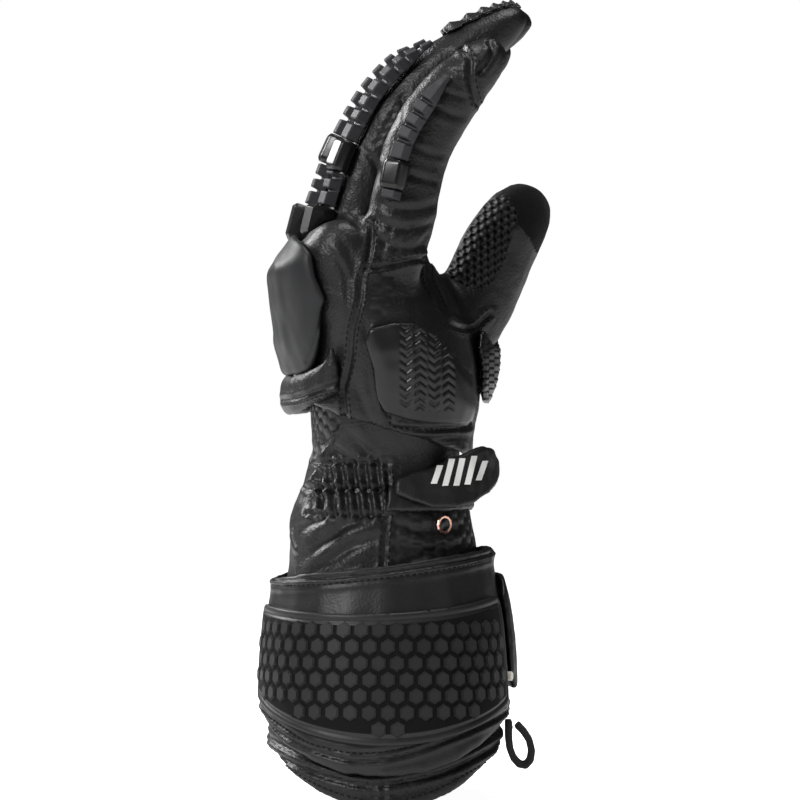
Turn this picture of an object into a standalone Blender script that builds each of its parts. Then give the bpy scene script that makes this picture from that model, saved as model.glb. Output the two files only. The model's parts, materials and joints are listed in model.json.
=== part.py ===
"""A right-hand leather motorcycle gauntlet, standing fingers up with the fingers gently bent.

+Z runs along the fingers, +X out of the palm and +Y towards the thumb. The origin is the middle
of the cuff's mouth, at the level of the hem's lowest point. Sizes are in metres.
"""

import math
from collections import namedtuple

import bmesh
import bpy
from mathutils import Vector

# Walls and gaps
LEATHER = 0.0022
TOUCH_GAP = 0.0003
SEAT_GAP = 0.0006
CLOSE_SEAT = 0.0011
SHELL_SEAT = 0.0019
TUCK_GAP = 0.0022

# Wrist sleeve, from the hem up into the hand
SLEEVE_HEIGHT = 0.158
HEM_WIDTH = 0.089
HEM_DEPTH = 0.108
HEM_RISE = 0.022
WRIST_WIDTH = 0.060
WRIST_DEPTH = 0.068
GATHER_DEPTH = 0.0022

# Armoured wrap round the sleeve
WRAP_LOW = 0.0125
WRAP_TOP = 0.0905
WRAP_RISE = 0.0205
WRAP_TILT = 0.12
WRAP_THICKNESS = 0.003
WRAP_STANDOFF = 0.0024
PIPING = 0.0034
HEM_BINDING = 0.0042

# Moulded cuff armour
ARMOUR_THICKNESS = 0.0014
ARMOUR_INSET = 0.0115
TILE_PITCH = 0.0076
TILE_ROW = 0.0067
TILE_GAP = 0.0014
TILE_HEIGHT = 0.0009
STUD_SIZE = 0.0036

# Hand shell
HAND_OVERLAP = 0.029
PALM_HEIGHT = 0.089
PALM_THICKNESS = 0.068
PALM_MARGIN = 0.0024
THENAR_BULGE = 0.022
DORSAL_RISE = 0.021

# Fingers and thumb
FINGER_WIDTH = 0.0215
FINGER_GAP = 0.0008
FINGER_THICKNESS = 0.024
FINGER_REACH = 0.056
FINGER_RISE = 0.100
THUMB_THICKNESS = 0.031
THUMB_REACH = 0.042
THUMB_RISE = 0.076

# Hard finger guards
SPINE_WIDTH = 0.0072
SPINE_HEIGHT = 0.0048
NOTCH_PITCH = 0.0050
NOTCH_WIDTH = 0.0018
NOTCH_DEPTH = 0.0030
LINK_WIDTH = 0.0100
LINK_HEIGHT = 0.0060
LINK_LENGTH = 0.0100
CAP_WIDTH = 0.0095
CAP_HEIGHT = 0.0088

RIB_HEIGHT = 0.0024
RIB_SEAT = 0.0008

# Hand guards, sliders and small parts
SHELL_THICKNESS = 0.0062
PAD_THICKNESS = 0.0050
SLIDER_THICKNESS = 0.0040
HAND_HEM = 0.0036
TAB_THICKNESS = 0.0030
TAB_STANDOFF = 0.0085
STRAP_THICKNESS = 0.0016
RING_RADIUS = 0.0030
RING_WIRE = 0.0006
FLAP_THICKNESS = 0.0026
LOOP_THICKNESS = 0.0026
LOOP_WIDTH = 0.0100
LOOP_DROP = 0.0118
MESH_THICKNESS = 0.0010

# Sides round each loft
SLEEVE_SIDES = 24
FINGER_SIDES = 10
THUMB_SIDES = 12

# Places worked out from the sizes
FINGER_PITCH = FINGER_WIDTH + FINGER_GAP
PALM_WIDTH = 4 * FINGER_PITCH + 2 * PALM_MARGIN
PALM_BASE = SLEEVE_HEIGHT - HAND_OVERLAP
PALM_TOP = PALM_BASE + PALM_HEIGHT
KNUCKLE_Z = PALM_TOP - 0.18 * PALM_HEIGHT
ULNAR = -90.0

Section = namedtuple("Section", "z x half_x half_y turn thenar")
SleeveRow = namedtuple("SleeveRow", "height flare shift gather")
PalmRow = namedtuple("PalmRow", "height shift width thickness turn thenar")
Station = namedtuple("Station", "reach side rise thickness width")
Finger = namedtuple("Finger", "name place roll lower_notches upper_notches stations")
Column = namedtuple("Column", "angle low high thickness")

# Height as a share of the sleeve, flare from the wrist size (0) to the hem size (1)
SLEEVE_ROWS = [
    SleeveRow(0.00, 1.00, 0.000, 0.0),
    SleeveRow(0.21, 0.97, 0.000, 0.0),
    SleeveRow(0.33, 0.86, 0.000, 0.0),
    SleeveRow(0.45, 0.66, 0.000, 0.0),
    SleeveRow(0.57, 0.37, -0.005, 0.0),
    SleeveRow(0.65, 0.34, -0.020, 0.2),
    SleeveRow(0.70, 0.24, -0.025, 1.0),
    SleeveRow(0.73, 0.14, -0.020, 0.5),
    SleeveRow(0.76, 0.04, -0.010, 1.0),
    SleeveRow(0.79, 0.00, -0.005, 0.3),
]

# Height as a share of the palm; the other columns are shares of the palm's width, thickness and bulge
PALM_ROWS = [
    PalmRow(0.00, 0.000, 0.79, 0.95, 0.0, 0.00),
    PalmRow(0.12, 0.005, 0.85, 0.97, 2.0, 0.25),
    PalmRow(0.22, 0.005, 0.92, 0.98, 4.0, 0.60),
    PalmRow(0.38, -0.005, 0.98, 0.97, 4.0, 1.00),
    PalmRow(0.54, -0.035, 1.00, 0.95, 0.0, 1.00),
    PalmRow(0.66, -0.080, 1.00, 0.88, -5.0, 0.60),
    PalmRow(0.78, -0.125, 0.99, 0.81, -9.0, 0.20),
    PalmRow(0.885, -0.145, 0.98, 0.69, -10.0, 0.00),
    PalmRow(0.955, -0.145, 0.95, 0.52, -10.0, 0.00),
    PalmRow(1.00, -0.145, 0.87, 0.28, -10.0, 0.00),
]
THENAR_ANGLE = 44.0
THENAR_SPREAD = 32.0
BOXINESS = 0.86

# Reach and rise are shares of the finger's reach and rise, from the middle of the knuckle line
LITTLE_STATIONS = [
    Station(0.02, 0, -0.04, 1.04, 0.98),
    Station(0.13, 0, 0.23, 1.08, 0.99),
    Station(0.20, 0, 0.41, 1.08, 0.98),
    Station(0.32, 0, 0.54, 1.05, 0.96),
    Station(0.46, 0, 0.65, 0.96, 0.93),
    Station(0.59, 0, 0.72, 0.84, 0.88),
    Station(0.67, 0, 0.765, 0.73, 0.80),
    Station(0.74, 0, 0.795, 0.52, 0.62),
    Station(0.78, 0, 0.815, 0.26, 0.34),
]
RING_STATIONS = [
    Station(-0.25, 0, -0.02, 0.98, 1.00),
    Station(-0.22, 0, 0.11, 1.00, 1.00),
    Station(-0.155, 0, 0.24, 1.00, 1.00),
    Station(-0.07, 0, 0.39, 1.00, 0.98),
    Station(0.115, 0, 0.585, 0.98, 0.96),
    Station(0.29, 0, 0.695, 0.94, 0.94),
    Station(0.48, 0, 0.785, 0.88, 0.90),
    Station(0.74, 0, 0.883, 0.70, 0.79),
    Station(0.89, 0, 0.940, 0.42, 0.54),
    Station(0.94, 0, 0.957, 0.22, 0.30),
]
MIDDLE_STATIONS = [
    Station(-0.32, 0, -0.02, 0.98, 1.00),
    Station(-0.30, 0, 0.11, 1.00, 1.00),
    Station(-0.225, 0, 0.24, 1.00, 1.00),
    Station(-0.125, 0, 0.39, 1.00, 0.98),
    Station(0.055, 0, 0.580, 0.98, 0.96),
    Station(0.24, 0, 0.700, 0.94, 0.94),
    Station(0.455, 0, 0.795, 0.88, 0.90),
    Station(0.76, 0, 0.896, 0.70, 0.79),
    Station(0.93, 0, 0.945, 0.43, 0.54),
    Station(0.985, 0, 0.960, 0.22, 0.30),
]
INDEX_STATIONS = [
    Station(-0.24, 0, -0.04, 0.98, 0.98),
    Station(-0.215, 0, 0.08, 1.00, 0.99),
    Station(-0.16, 0, 0.20, 1.00, 0.99),
    Station(-0.07, 0, 0.35, 1.00, 0.98),
    Station(0.11, 0, 0.520, 0.98, 0.96),
    Station(0.29, 0, 0.630, 0.94, 0.94),
    Station(0.46, 0, 0.715, 0.88, 0.90),
    Station(0.68, 0, 0.805, 0.71, 0.79),
    Station(0.81, 0, 0.855, 0.44, 0.54),
    Station(0.85, 0, 0.871, 0.23, 0.30),
]
FINGERS = [
    Finger("little", -1.5, 66.0, 0, 4, LITTLE_STATIONS),
    Finger("ring", -0.5, 30.0, 3, 7, RING_STATIONS),
    Finger("middle", 0.5, 12.0, 3, 7, MIDDLE_STATIONS),
    Finger("index", 1.5, -5.0, 2, 6, INDEX_STATIONS),
]
# Side is a share of the thumb's reach as well, and the widths are shares of its thickness
THUMB_STATIONS = [
    Station(0.00, 0.00, 0.00, 0.72, 0.72),
    Station(0.19, 0.15, 0.16, 0.95, 0.95),
    Station(0.38, 0.24, 0.32, 1.03, 1.00),
    Station(0.49, 0.29, 0.435, 1.02, 1.00),
    Station(0.59, 0.31, 0.54, 1.00, 0.98),
    Station(0.715, 0.31, 0.69, 0.97, 0.96),
    Station(0.83, 0.30, 0.80, 0.92, 0.93),
    Station(0.92, 0.29, 0.885, 0.81, 0.84),
    Station(0.97, 0.28, 0.950, 0.61, 0.64),
    Station(1.00, 0.27, 0.995, 0.34, 0.36),
]
THUMB_ROOT = Vector((0.21 * PALM_THICKNESS, 0.43 * PALM_WIDTH / 2, PALM_BASE + 0.33 * PALM_HEIGHT))

BLACK_LEATHER = ("leather", (0.022, 0.022, 0.023), 0.42, 0.0)
EMBOSSED_LEATHER = ("embossed_leather", (0.028, 0.028, 0.030), 0.55, 0.0)
MATTE_RUBBER = ("moulded_rubber", (0.035, 0.035, 0.037), 0.60, 0.0)
GLOSS_PLASTIC = ("gloss_plastic", (0.008, 0.008, 0.008), 0.12, 0.0)
STRETCH_MESH = ("stretch_mesh", (0.015, 0.015, 0.015), 0.75, 0.0)
WEBBING = ("webbing", (0.012, 0.012, 0.012), 0.80, 0.0)
RING_METAL = ("ring_metal", (0.72, 0.46, 0.38), 0.30, 1.0)
CREAM_STUD = ("reflective_stud", (0.85, 0.82, 0.72), 0.40, 0.0)


def clear_scene():
    for obj in list(bpy.data.objects):
        bpy.data.objects.remove(obj)


def new_collection(name):
    collection = bpy.data.collections.new(name)
    bpy.context.scene.collection.children.link(collection)
    return collection


def finish_material(finish):
    """The material of one finish, made once."""
    name, colour, roughness, metallic = finish
    found = bpy.data.materials.get(name)
    if found:
        return found
    made = bpy.data.materials.new(name)
    made.use_nodes = True
    shader = made.node_tree.nodes["Principled BSDF"]
    shader.inputs["Base Color"].default_value = (*colour, 1.0)
    shader.inputs["Roughness"].default_value = roughness
    shader.inputs["Metallic"].default_value = metallic
    return made


def mix(a, b, share):
    return a + (b - a) * share


def smooth(share):
    share = min(1.0, max(0.0, share))
    return share * share * (3 - 2 * share)


def cosine(degrees):
    return math.cos(math.radians(degrees))


def sine(degrees):
    return math.sin(math.radians(degrees))


def spread(low, high, count):
    """count values from low to high."""
    return [mix(low, high, i / (count - 1)) for i in range(count)]


def between(rows, value, key=lambda row: row[0]):
    """The row at a value of its first column, with the columns between two rows interpolated."""
    if value <= key(rows[0]):
        return rows[0]
    for low, high in zip(rows, rows[1:]):
        if value <= key(high):
            share = (value - key(low)) / (key(high) - key(low))
            return type(low)(*(mix(a, b, share) for a, b in zip(low, high)))
    return rows[-1]


# Closed sections of the hand and sleeve


def palm_section(z, grow=0.0):
    row = between(PALM_ROWS, (z - PALM_BASE) / PALM_HEIGHT)
    return Section(
        z,
        row.shift * PALM_THICKNESS,
        row.thickness * PALM_THICKNESS / 2 + grow,
        row.width * PALM_WIDTH / 2 + grow,
        row.turn,
        row.thenar * THENAR_BULGE,
    )


def sleeve_section(z, grow=0.0):
    """The sleeve lies inside the hand shell from the palm's base upwards."""
    if z >= PALM_BASE:
        return palm_section(z, grow - LEATHER - TUCK_GAP)
    row = between(SLEEVE_ROWS, z / SLEEVE_HEIGHT)
    return Section(
        z,
        row.shift * WRIST_WIDTH,
        mix(WRIST_WIDTH, HEM_WIDTH, row.flare) / 2 + grow,
        mix(WRIST_DEPTH, HEM_DEPTH, row.flare) / 2 + grow,
        0.0,
        0.0,
    )


def wrap_section(z, grow=0.0):
    """The wrap's outer face, which stands further off the sleeve towards its top edge."""
    low = WRAP_LOW + WRAP_RISE
    standoff = WRAP_STANDOFF * smooth((z - low) / (WRAP_TOP - low))
    return sleeve_section(z, SEAT_GAP + WRAP_THICKNESS + standoff + grow)


def section_point(section, angle):
    """A point of the section; angle 0 faces out of the palm and -90 degrees the little finger's side."""
    along_x = section.half_x * math.copysign(abs(cosine(angle)) ** BOXINESS, cosine(angle))
    along_y = section.half_y * math.copysign(abs(sine(angle)) ** BOXINESS, sine(angle))
    away = (angle - THENAR_ANGLE + 180) % 360 - 180
    lobe = section.thenar * math.exp(-((away / THENAR_SPREAD) ** 2))
    along_x += lobe * cosine(THENAR_ANGLE)
    along_y += lobe * sine(THENAR_ANGLE)
    return Vector(
        (
            section.x + along_x * cosine(section.turn) - along_y * sine(section.turn),
            along_x * sine(section.turn) + along_y * cosine(section.turn),
            section.z,
        )
    )


def angles_round(sides):
    return [360.0 * i / sides for i in range(sides)]


def wall_rings(section_at, low, high, shares, sides):
    """Rings of a wall whose lower and upper edges may rise and fall with the angle."""
    rings = []
    for share in shares:
        ring = []
        for angle in angles_round(sides):
            z = mix(low(angle), high(angle), share)
            ring.append(section_point(section_at(z), angle))
        rings.append(ring)
    return rings


# Lofts


def loft_mesh(name, rings, cap_start, cap_end, recalculate=False):
    """A mesh through closed rings of equal count, with each capped end closed by a fan."""
    shape = bmesh.new()
    rows = [[shape.verts.new(point) for point in ring] for ring in rings]
    sides = len(rings[0])
    for low, high in zip(rows, rows[1:]):
        for i in range(sides):
            j = (i + 1) % sides
            shape.faces.new((low[i], low[j], high[j], high[i]))
    for row, wanted, flipped in ((rows[0], cap_start, True), (rows[-1], cap_end, False)):
        if not wanted:
            continue
        centre = sum((v.co for v in row), Vector()) / sides
        pole = shape.verts.new(centre)
        for i in range(sides):
            j = (i + 1) % sides
            corners = (row[j], row[i], pole) if flipped else (row[i], row[j], pole)
            shape.faces.new(corners)
    if recalculate:
        bmesh.ops.recalc_face_normals(shape, faces=shape.faces)
    mesh = bpy.data.meshes.new(name)
    shape.to_mesh(mesh)
    shape.free()
    return mesh


def add_object(name, mesh, finish, collection):
    obj = bpy.data.objects.new(name, mesh)
    collection.objects.link(obj)
    mesh.materials.append(finish_material(finish))
    mesh.shade_smooth()
    mesh.set_sharp_from_angle(angle=math.radians(50))
    return obj


def add_cutter(name, mesh, collection):
    obj = bpy.data.objects.new(name, mesh)
    collection.objects.link(obj)
    obj.hide_render = True
    obj.display_type = "WIRE"
    return obj


def add_wall(obj, thickness):
    """Gives an open surface its wall, inwards from the surface."""
    wall = obj.modifiers.new("wall", "SOLIDIFY")
    wall.thickness = thickness
    wall.offset = -1.0
    wall.use_even_offset = True


def add_boolean(obj, other, operation):
    step = obj.modifiers.new(operation.lower() + "_" + other.name, "BOOLEAN")
    step.operation = operation
    step.solver = "EXACT"
    step.object = other


# Sleeve, wrap and piping


def hem_low(angle):
    """The hem hangs lowest at the little finger's side and the thumb's side."""
    return HEM_RISE * cosine(angle) ** 2


def hem_line(angle):
    return hem_low(angle) + HEM_BINDING


def wrap_low(angle):
    return WRAP_LOW + WRAP_RISE * cosine(angle) ** 2


def wrap_high(angle):
    return WRAP_TOP + WRAP_TILT * cosine(angle) * HEM_WIDTH / 2


def make_sleeve(collection):
    shares = [row.height for row in SLEEVE_ROWS]
    shares += [PALM_BASE / SLEEVE_HEIGHT, 0.5 * (1 + PALM_BASE / SLEEVE_HEIGHT), 1.0]
    rings = wall_rings(
        sleeve_section,
        lambda angle: hem_line(angle) + TOUCH_GAP,
        lambda angle: SLEEVE_HEIGHT,
        shares,
        SLEEVE_SIDES,
    )
    for ring, share in zip(rings, shares):
        depth = between(SLEEVE_ROWS, share).gather * GATHER_DEPTH
        if share >= PALM_BASE / SLEEVE_HEIGHT:
            depth = 0.0
        for i, angle in enumerate(angles_round(SLEEVE_SIDES)):
            shown = smooth(0.5 - cosine(angle))
            inward = Vector((cosine(angle), sine(angle), 0.0)) * depth * shown
            if i % 2:
                ring[i] = ring[i] - inward
    mesh = loft_mesh("wrist_sleeve", rings, False, False)
    sleeve = add_object("wrist_sleeve", mesh, EMBOSSED_LEATHER, collection)
    add_wall(sleeve, LEATHER)


def make_wrap(collection):
    rings = wall_rings(
        wrap_section,
        lambda angle: wrap_low(angle) + PIPING + TOUCH_GAP,
        lambda angle: wrap_high(angle) - PIPING - TOUCH_GAP,
        (0.0, 0.2, 0.4, 0.6, 0.8, 1.0),
        SLEEVE_SIDES,
    )
    wrap = add_object("cuff_wrap", loft_mesh("cuff_wrap", rings, False, False), BLACK_LEATHER, collection)
    add_wall(wrap, WRAP_THICKNESS)


# A piping's or binding's rounded profile, across (0 inside, 1 outside) and up (0 low, 1 high)
ROUND_PROFILE = ((0.0, 0.0), (1.0, 0.2), (1.0, 0.8), (0.0, 1.0))


def make_band(name, section_at, line, height, inner, outer, finish, collection, span=None):
    """A strip along a line round the section; it closes on itself unless a span of angles is given."""
    angles = spread(span[0], span[1], span[2]) if span else angles_round(SLEEVE_SIDES)
    rings = []
    for angle in angles:
        ring = []
        for across, up in ROUND_PROFILE:
            z = line(angle) + up * height
            ring.append(section_point(section_at(z, mix(inner, outer, across)), angle))
        rings.append(ring)
    if not span:
        rings.append(rings[0])
        return add_object(name, ring_mesh(name, rings[:-1]), finish, collection)
    return add_object(name, loft_mesh(name, rings, True, True, True), finish, collection)


def ring_mesh(name, rings):
    """A loft that closes on itself."""
    shape = bmesh.new()
    rows = [[shape.verts.new(point) for point in ring] for ring in rings]
    sides = len(rings[0])
    for low, high in zip(rows, rows[1:] + rows[:1]):
        for i in range(sides):
            j = (i + 1) % sides
            shape.faces.new((low[i], low[j], high[j], high[i]))
    bmesh.ops.recalc_face_normals(shape, faces=shape.faces)
    mesh = bpy.data.meshes.new(name)
    shape.to_mesh(mesh)
    shape.free()
    return mesh


def make_pipings(collection):
    make_band(
        "cuff_bottom_piping", wrap_section, wrap_low, PIPING,
        -WRAP_THICKNESS, 0.0004, BLACK_LEATHER, collection,
    )
    make_band(
        "cuff_top_piping", wrap_section, lambda angle: wrap_high(angle) - PIPING, PIPING,
        -WRAP_THICKNESS, 0.0008, BLACK_LEATHER, collection,
    )
    make_band(
        "hem_binding", sleeve_section, hem_low, HEM_BINDING,
        -LEATHER, 0.0008, BLACK_LEATHER, collection,
    )


# Plates seated on the hand or the wrap


def plate_rings(section_at, columns, seat, rows, edge, fold=None):
    """Rings across a plate, one for each column: its seat going up and its outer face coming down."""
    rings = []
    for column in columns:
        ring = [
            section_point(section_at(z, seat), column.angle)
            for z in spread(column.low, column.high, rows)
        ]
        for share in reversed(spread(0.0, 1.0, rows)):
            z = mix(column.low, column.high, share)
            rim = smooth(min(share, 1 - share) / 0.2)
            lift = mix(edge, 1.0, rim) * column.thickness
            ring.append(section_point(section_at(z, seat + lift), column.angle))
        rings.append(ring)
    return rings


def palm_z(share):
    return PALM_BASE + share * PALM_HEIGHT


def make_plate(name, section_at, columns, finish, collection, rows=5, edge=0.55, seat=SEAT_GAP):
    rings = plate_rings(section_at, columns, seat, rows, edge)
    return add_object(name, loft_mesh(name, rings, True, True, True), finish, collection)


def palm_columns(table, thickness):
    return [Column(angle, palm_z(low), palm_z(high), share * thickness) for angle, low, high, share in table]


# Angle, low and high as shares of the palm's height, thickness as a share of the plate's own
OUTER_SHELL_COLUMNS = [
    Column(-178.0, 0.38, 0.90, 0.75),
    Column(-172.0, 0.36, 0.92, 1.00),
    Column(-163.0, 0.36, 0.94, 0.95),
    Column(-152.0, 0.36, 0.95, 0.90),
    Column(-142.0, 0.38, 0.94, 0.82),
    Column(-133.0, 0.44, 0.93, 0.74),
    Column(-124.0, 0.54, 0.92, 0.65),
    Column(-116.0, 0.62, 0.90, 0.55),
    Column(-108.0, 0.67, 0.87, 0.42),
]
MAIN_SHELL_COLUMNS = [
    Column(178.0, 0.38, 0.88, 0.75),
    Column(170.0, 0.36, 0.90, 1.15),
    Column(158.0, 0.36, 0.91, 1.15),
    Column(146.0, 0.37, 0.91, 1.00),
    Column(134.0, 0.42, 0.89, 0.85),
    Column(124.0, 0.50, 0.84, 0.60),
]
HEEL_SLIDER_COLUMNS = [
    Column(-98.0, 0.26, 0.50, 0.45),
    Column(-93.0, 0.20, 0.55, 0.85),
    Column(-80.0, 0.165, 0.575, 1.00),
    Column(-66.0, 0.155, 0.575, 1.00),
    Column(-56.0, 0.155, 0.53, 1.00),
    Column(-47.0, 0.155, 0.42, 1.00),
    Column(-38.0, 0.155, 0.375, 0.90),
    Column(-29.0, 0.165, 0.365, 0.45),
]
THUMB_SLIDER_COLUMNS = [
    Column(2.0, 0.30, 0.48, 0.45),
    Column(10.0, 0.25, 0.55, 1.00),
    Column(20.0, 0.24, 0.57, 1.15),
    Column(30.0, 0.25, 0.55, 1.15),
    Column(40.0, 0.28, 0.50, 1.00),
    Column(48.0, 0.33, 0.43, 0.45),
]

# The padded leather that overhangs the wrist below the knuckle shells
WRIST_PAD_COLUMNS = [
    Column(-236.0, 0.22, 0.31, 0.35),
    Column(-228.0, 0.20, 0.345, 0.90),
    Column(-210.0, 0.19, 0.350, 1.00),
    Column(-192.0, 0.19, 0.350, 1.00),
    Column(-176.0, 0.19, 0.353, 1.00),
    Column(-160.0, 0.20, 0.350, 1.00),
    Column(-142.0, 0.23, 0.365, 0.95),
    Column(-128.0, 0.26, 0.40, 0.80),
    Column(-120.0, 0.28, 0.47, 0.35),
]


def make_hand_guards(collection, cutters):
    paths = {"index": (finger_points(FINGERS[-1]), FINGER_SIDES), "thumb": (thumb_points(), THUMB_SIDES)}
    blocks = {}
    for name, (points, sides) in paths.items():
        rings = tube_rings(points, sides, SEAT_GAP)
        forward = path_frame(points, 0.0)[1]
        rings[0] = [point - forward * 2 * SEAT_GAP for point in rings[0]]
        blocks[name] = make_block("clear_" + name, rings, cutters)
    for name, table, thickness, finish, seat, crossed in (
        ("outer_knuckle_shell", OUTER_SHELL_COLUMNS, SHELL_THICKNESS, MATTE_RUBBER, SHELL_SEAT, ()),
        ("main_knuckle_shell", MAIN_SHELL_COLUMNS, SHELL_THICKNESS, MATTE_RUBBER, SHELL_SEAT, ("index",)),
        ("heel_slider", HEEL_SLIDER_COLUMNS, SLIDER_THICKNESS, MATTE_RUBBER, CLOSE_SEAT, ()),
        ("thumb_side_slider", THUMB_SLIDER_COLUMNS, SLIDER_THICKNESS, MATTE_RUBBER, SHELL_SEAT, ("thumb",)),
        ("wrist_pad", WRIST_PAD_COLUMNS, PAD_THICKNESS, BLACK_LEATHER, SHELL_SEAT, ()),
    ):
        plate = make_plate(
            name, palm_section, palm_columns(table, thickness), finish, collection, seat=seat
        )
        for other in crossed:
            add_boolean(plate, blocks[other], "DIFFERENCE")


# Cuff armour with raised hexagons


def armour_low(angle):
    side = smooth((abs(angle - ULNAR) - 58) / 24)
    return wrap_low(angle) + ARMOUR_INSET + 0.25 * ARMOUR_INSET * side


def armour_high(angle):
    side = smooth((abs(angle - ULNAR) - 58) / 24)
    return wrap_high(angle) - 1.3 * ARMOUR_INSET - 0.25 * ARMOUR_INSET * side


ARMOUR_START = -166.0
ARMOUR_END = -22.0
ARMOUR_COLUMNS = 15


def arc_table(section, start, end, steps=60):
    """Angles and arc lengths along a section."""
    angles = spread(start, end, steps)
    lengths = [0.0]
    for a, b in zip(angles, angles[1:]):
        lengths.append(lengths[-1] + (section_point(section, b) - section_point(section, a)).length)
    return list(zip(lengths, angles))


def angle_at(table, length):
    for (low, a), (high, b) in zip(table, table[1:]):
        if length <= high:
            return mix(a, b, (length - low) / (high - low))
    return table[-1][1]


def hexagon(table, across, z, radius, lift):
    """The six corners of a hexagon that stands on a corner, wrapped on the wrap's face."""
    corners = []
    for corner in range(6):
        turn = 60.0 * corner + 30.0
        angle = angle_at(table, across + radius * cosine(turn))
        corners.append(section_point(wrap_section(z + radius * sine(turn), lift), angle))
    return corners


def make_armour(collection, cutters):
    columns = [
        Column(angle, armour_low(angle), armour_high(angle), ARMOUR_THICKNESS)
        for angle in spread(ARMOUR_START, ARMOUR_END, ARMOUR_COLUMNS)
    ]
    armour = make_plate("cuff_armour", wrap_section, columns, MATTE_RUBBER, collection, rows=4, edge=1.0)
    middle = 0.5 * (WRAP_LOW + WRAP_TOP)
    table = arc_table(wrap_section(middle), ARMOUR_START, ARMOUR_END)
    radius = (TILE_PITCH - TILE_GAP) / math.sqrt(3)
    margin = radius + 0.5 * TILE_PITCH
    seat = SEAT_GAP + ARMOUR_THICKNESS
    shape = bmesh.new()
    row = 0
    while WRAP_LOW + row * TILE_ROW < WRAP_TOP:
        z = WRAP_LOW + row * TILE_ROW
        across = margin + (row % 2) * TILE_PITCH / 2
        while across < table[-1][0] - margin:
            angle = angle_at(table, across)
            if armour_low(angle) + margin < z < armour_high(angle) - margin:
                low = hexagon(table, across, z, radius, seat - 0.5 * ARMOUR_THICKNESS)
                high = hexagon(table, across, z, 0.86 * radius, seat + TILE_HEIGHT)
                bottom = [shape.verts.new(point) for point in low]
                top = [shape.verts.new(point) for point in high]
                shape.faces.new(list(reversed(bottom)))
                shape.faces.new(top)
                for i in range(6):
                    j = (i + 1) % 6
                    shape.faces.new((bottom[i], bottom[j], top[j], top[i]))
            across += TILE_PITCH
        row += 1
    bmesh.ops.recalc_face_normals(shape, faces=shape.faces)
    mesh = bpy.data.meshes.new("armour_tiles")
    shape.to_mesh(mesh)
    shape.free()
    add_boolean(armour, add_cutter("armour_tiles", mesh, cutters), "UNION")


# Fingers


def finger_points(finger):
    """Each station's middle, half thickness and half width, in metres."""
    y = finger.place * FINGER_PITCH
    return [
        (
            Vector((row.reach * FINGER_REACH, y, KNUCKLE_Z + row.rise * FINGER_RISE)),
            row.thickness * FINGER_THICKNESS / 2,
            row.width * FINGER_WIDTH / 2,
        )
        for row in finger.stations
    ]


def thumb_points():
    return [
        (
            THUMB_ROOT + Vector((row.reach * THUMB_REACH, row.side * THUMB_REACH, row.rise * THUMB_RISE)),
            row.thickness * THUMB_THICKNESS / 2,
            row.width * THUMB_THICKNESS / 2,
        )
        for row in THUMB_STATIONS
    ]


def path_frame(points, share):
    """Middle, way forward, way out of the back, half thickness and half width, at a share of the path."""
    place = min(max(share, 0.0), 1.0) * (len(points) - 1)
    i = min(int(place), len(points) - 2)
    t = place - i
    low, high = points[i], points[i + 1]
    before = points[max(i - 1, 0)]
    after = points[min(i + 2, len(points) - 1)]
    start = (high[0] - before[0]) / 2
    end = (after[0] - low[0]) / 2
    middle = (
        low[0] * (2 * t**3 - 3 * t**2 + 1)
        + start * (t**3 - 2 * t**2 + t)
        + high[0] * (3 * t**2 - 2 * t**3)
        + end * (t**3 - t**2)
    )
    forward = (
        low[0] * (6 * t**2 - 6 * t)
        + start * (3 * t**2 - 4 * t + 1)
        + high[0] * (6 * t - 6 * t**2)
        + end * (3 * t**2 - 2 * t)
    ).normalized()
    side = (Vector((0, 1, 0)) - forward * forward.y).normalized()
    back = forward.cross(side)
    return middle, forward, back, side, mix(low[1], high[1], t), mix(low[2], high[2], t)


def tube_ring(points, share, sides, grow=0.0):
    middle, _, back, side, half_thick, half_wide = path_frame(points, share)
    ring = []
    for angle in angles_round(sides):
        out = back * cosine(angle) * (half_thick + grow) - side * sine(angle) * (half_wide + grow)
        ring.append(middle + out)
    return ring


def tube_rings(points, sides, grow=0.0):
    last = len(points) - 1
    return [tube_ring(points, i / last, sides, grow) for i in range(len(points))]


def on_finger(points, share, roll, across, lift):
    """A point over the finger: across its width from the rolled back line, lifted off the leather."""
    middle, _, back, side, half_thick, half_wide = path_frame(points, share)
    up = back * cosine(roll) - side * sine(roll)
    right = side * cosine(roll) + back * sine(roll)
    reach = 1 / math.hypot(cosine(roll) / half_thick, sine(roll) / half_wide)
    return middle + up * (reach + lift) + right * across


def share_of_length(points, share, length):
    """The path share that lies a length further along than a share."""
    step = 0.002
    gone = 0.0
    here = path_frame(points, share)[0]
    while gone < abs(length) and 0.0 < share + step < 1.0:
        share += math.copysign(step, length)
        there = path_frame(points, share)[0]
        gone += (there - here).length
        here = there
    return share


def make_block(name, rings, cutters):
    return add_cutter(name, loft_mesh(name, rings, True, True), cutters)


def make_stalls(collection, palm_block):
    cores = []
    for finger in FINGERS:
        points = finger_points(finger)
        name = "finger_stall_" + finger.name
        mesh = loft_mesh(name, tube_rings(points, FINGER_SIDES), False, True)
        stall = add_object(name, mesh, BLACK_LEATHER, collection)
        add_wall(stall, LEATHER)
        add_boolean(stall, palm_block, "DIFFERENCE")
        core = tube_rings(points, FINGER_SIDES, -LEATHER)
        forward = path_frame(points, 0.0)[1]
        core[0] = [point + forward * 2 * LEATHER for point in core[0]]
        cores.append((finger.name, core))
    points = thumb_points()
    mesh = loft_mesh("thumb_stall", tube_rings(points, THUMB_SIDES), False, True)
    stall = add_object("thumb_stall", mesh, BLACK_LEATHER, collection)
    add_wall(stall, LEATHER)
    add_boolean(stall, palm_block, "DIFFERENCE")
    cores.append(("thumb", tube_rings(points, THUMB_SIDES, -LEATHER)))
    return cores


# Finger guards


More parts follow.
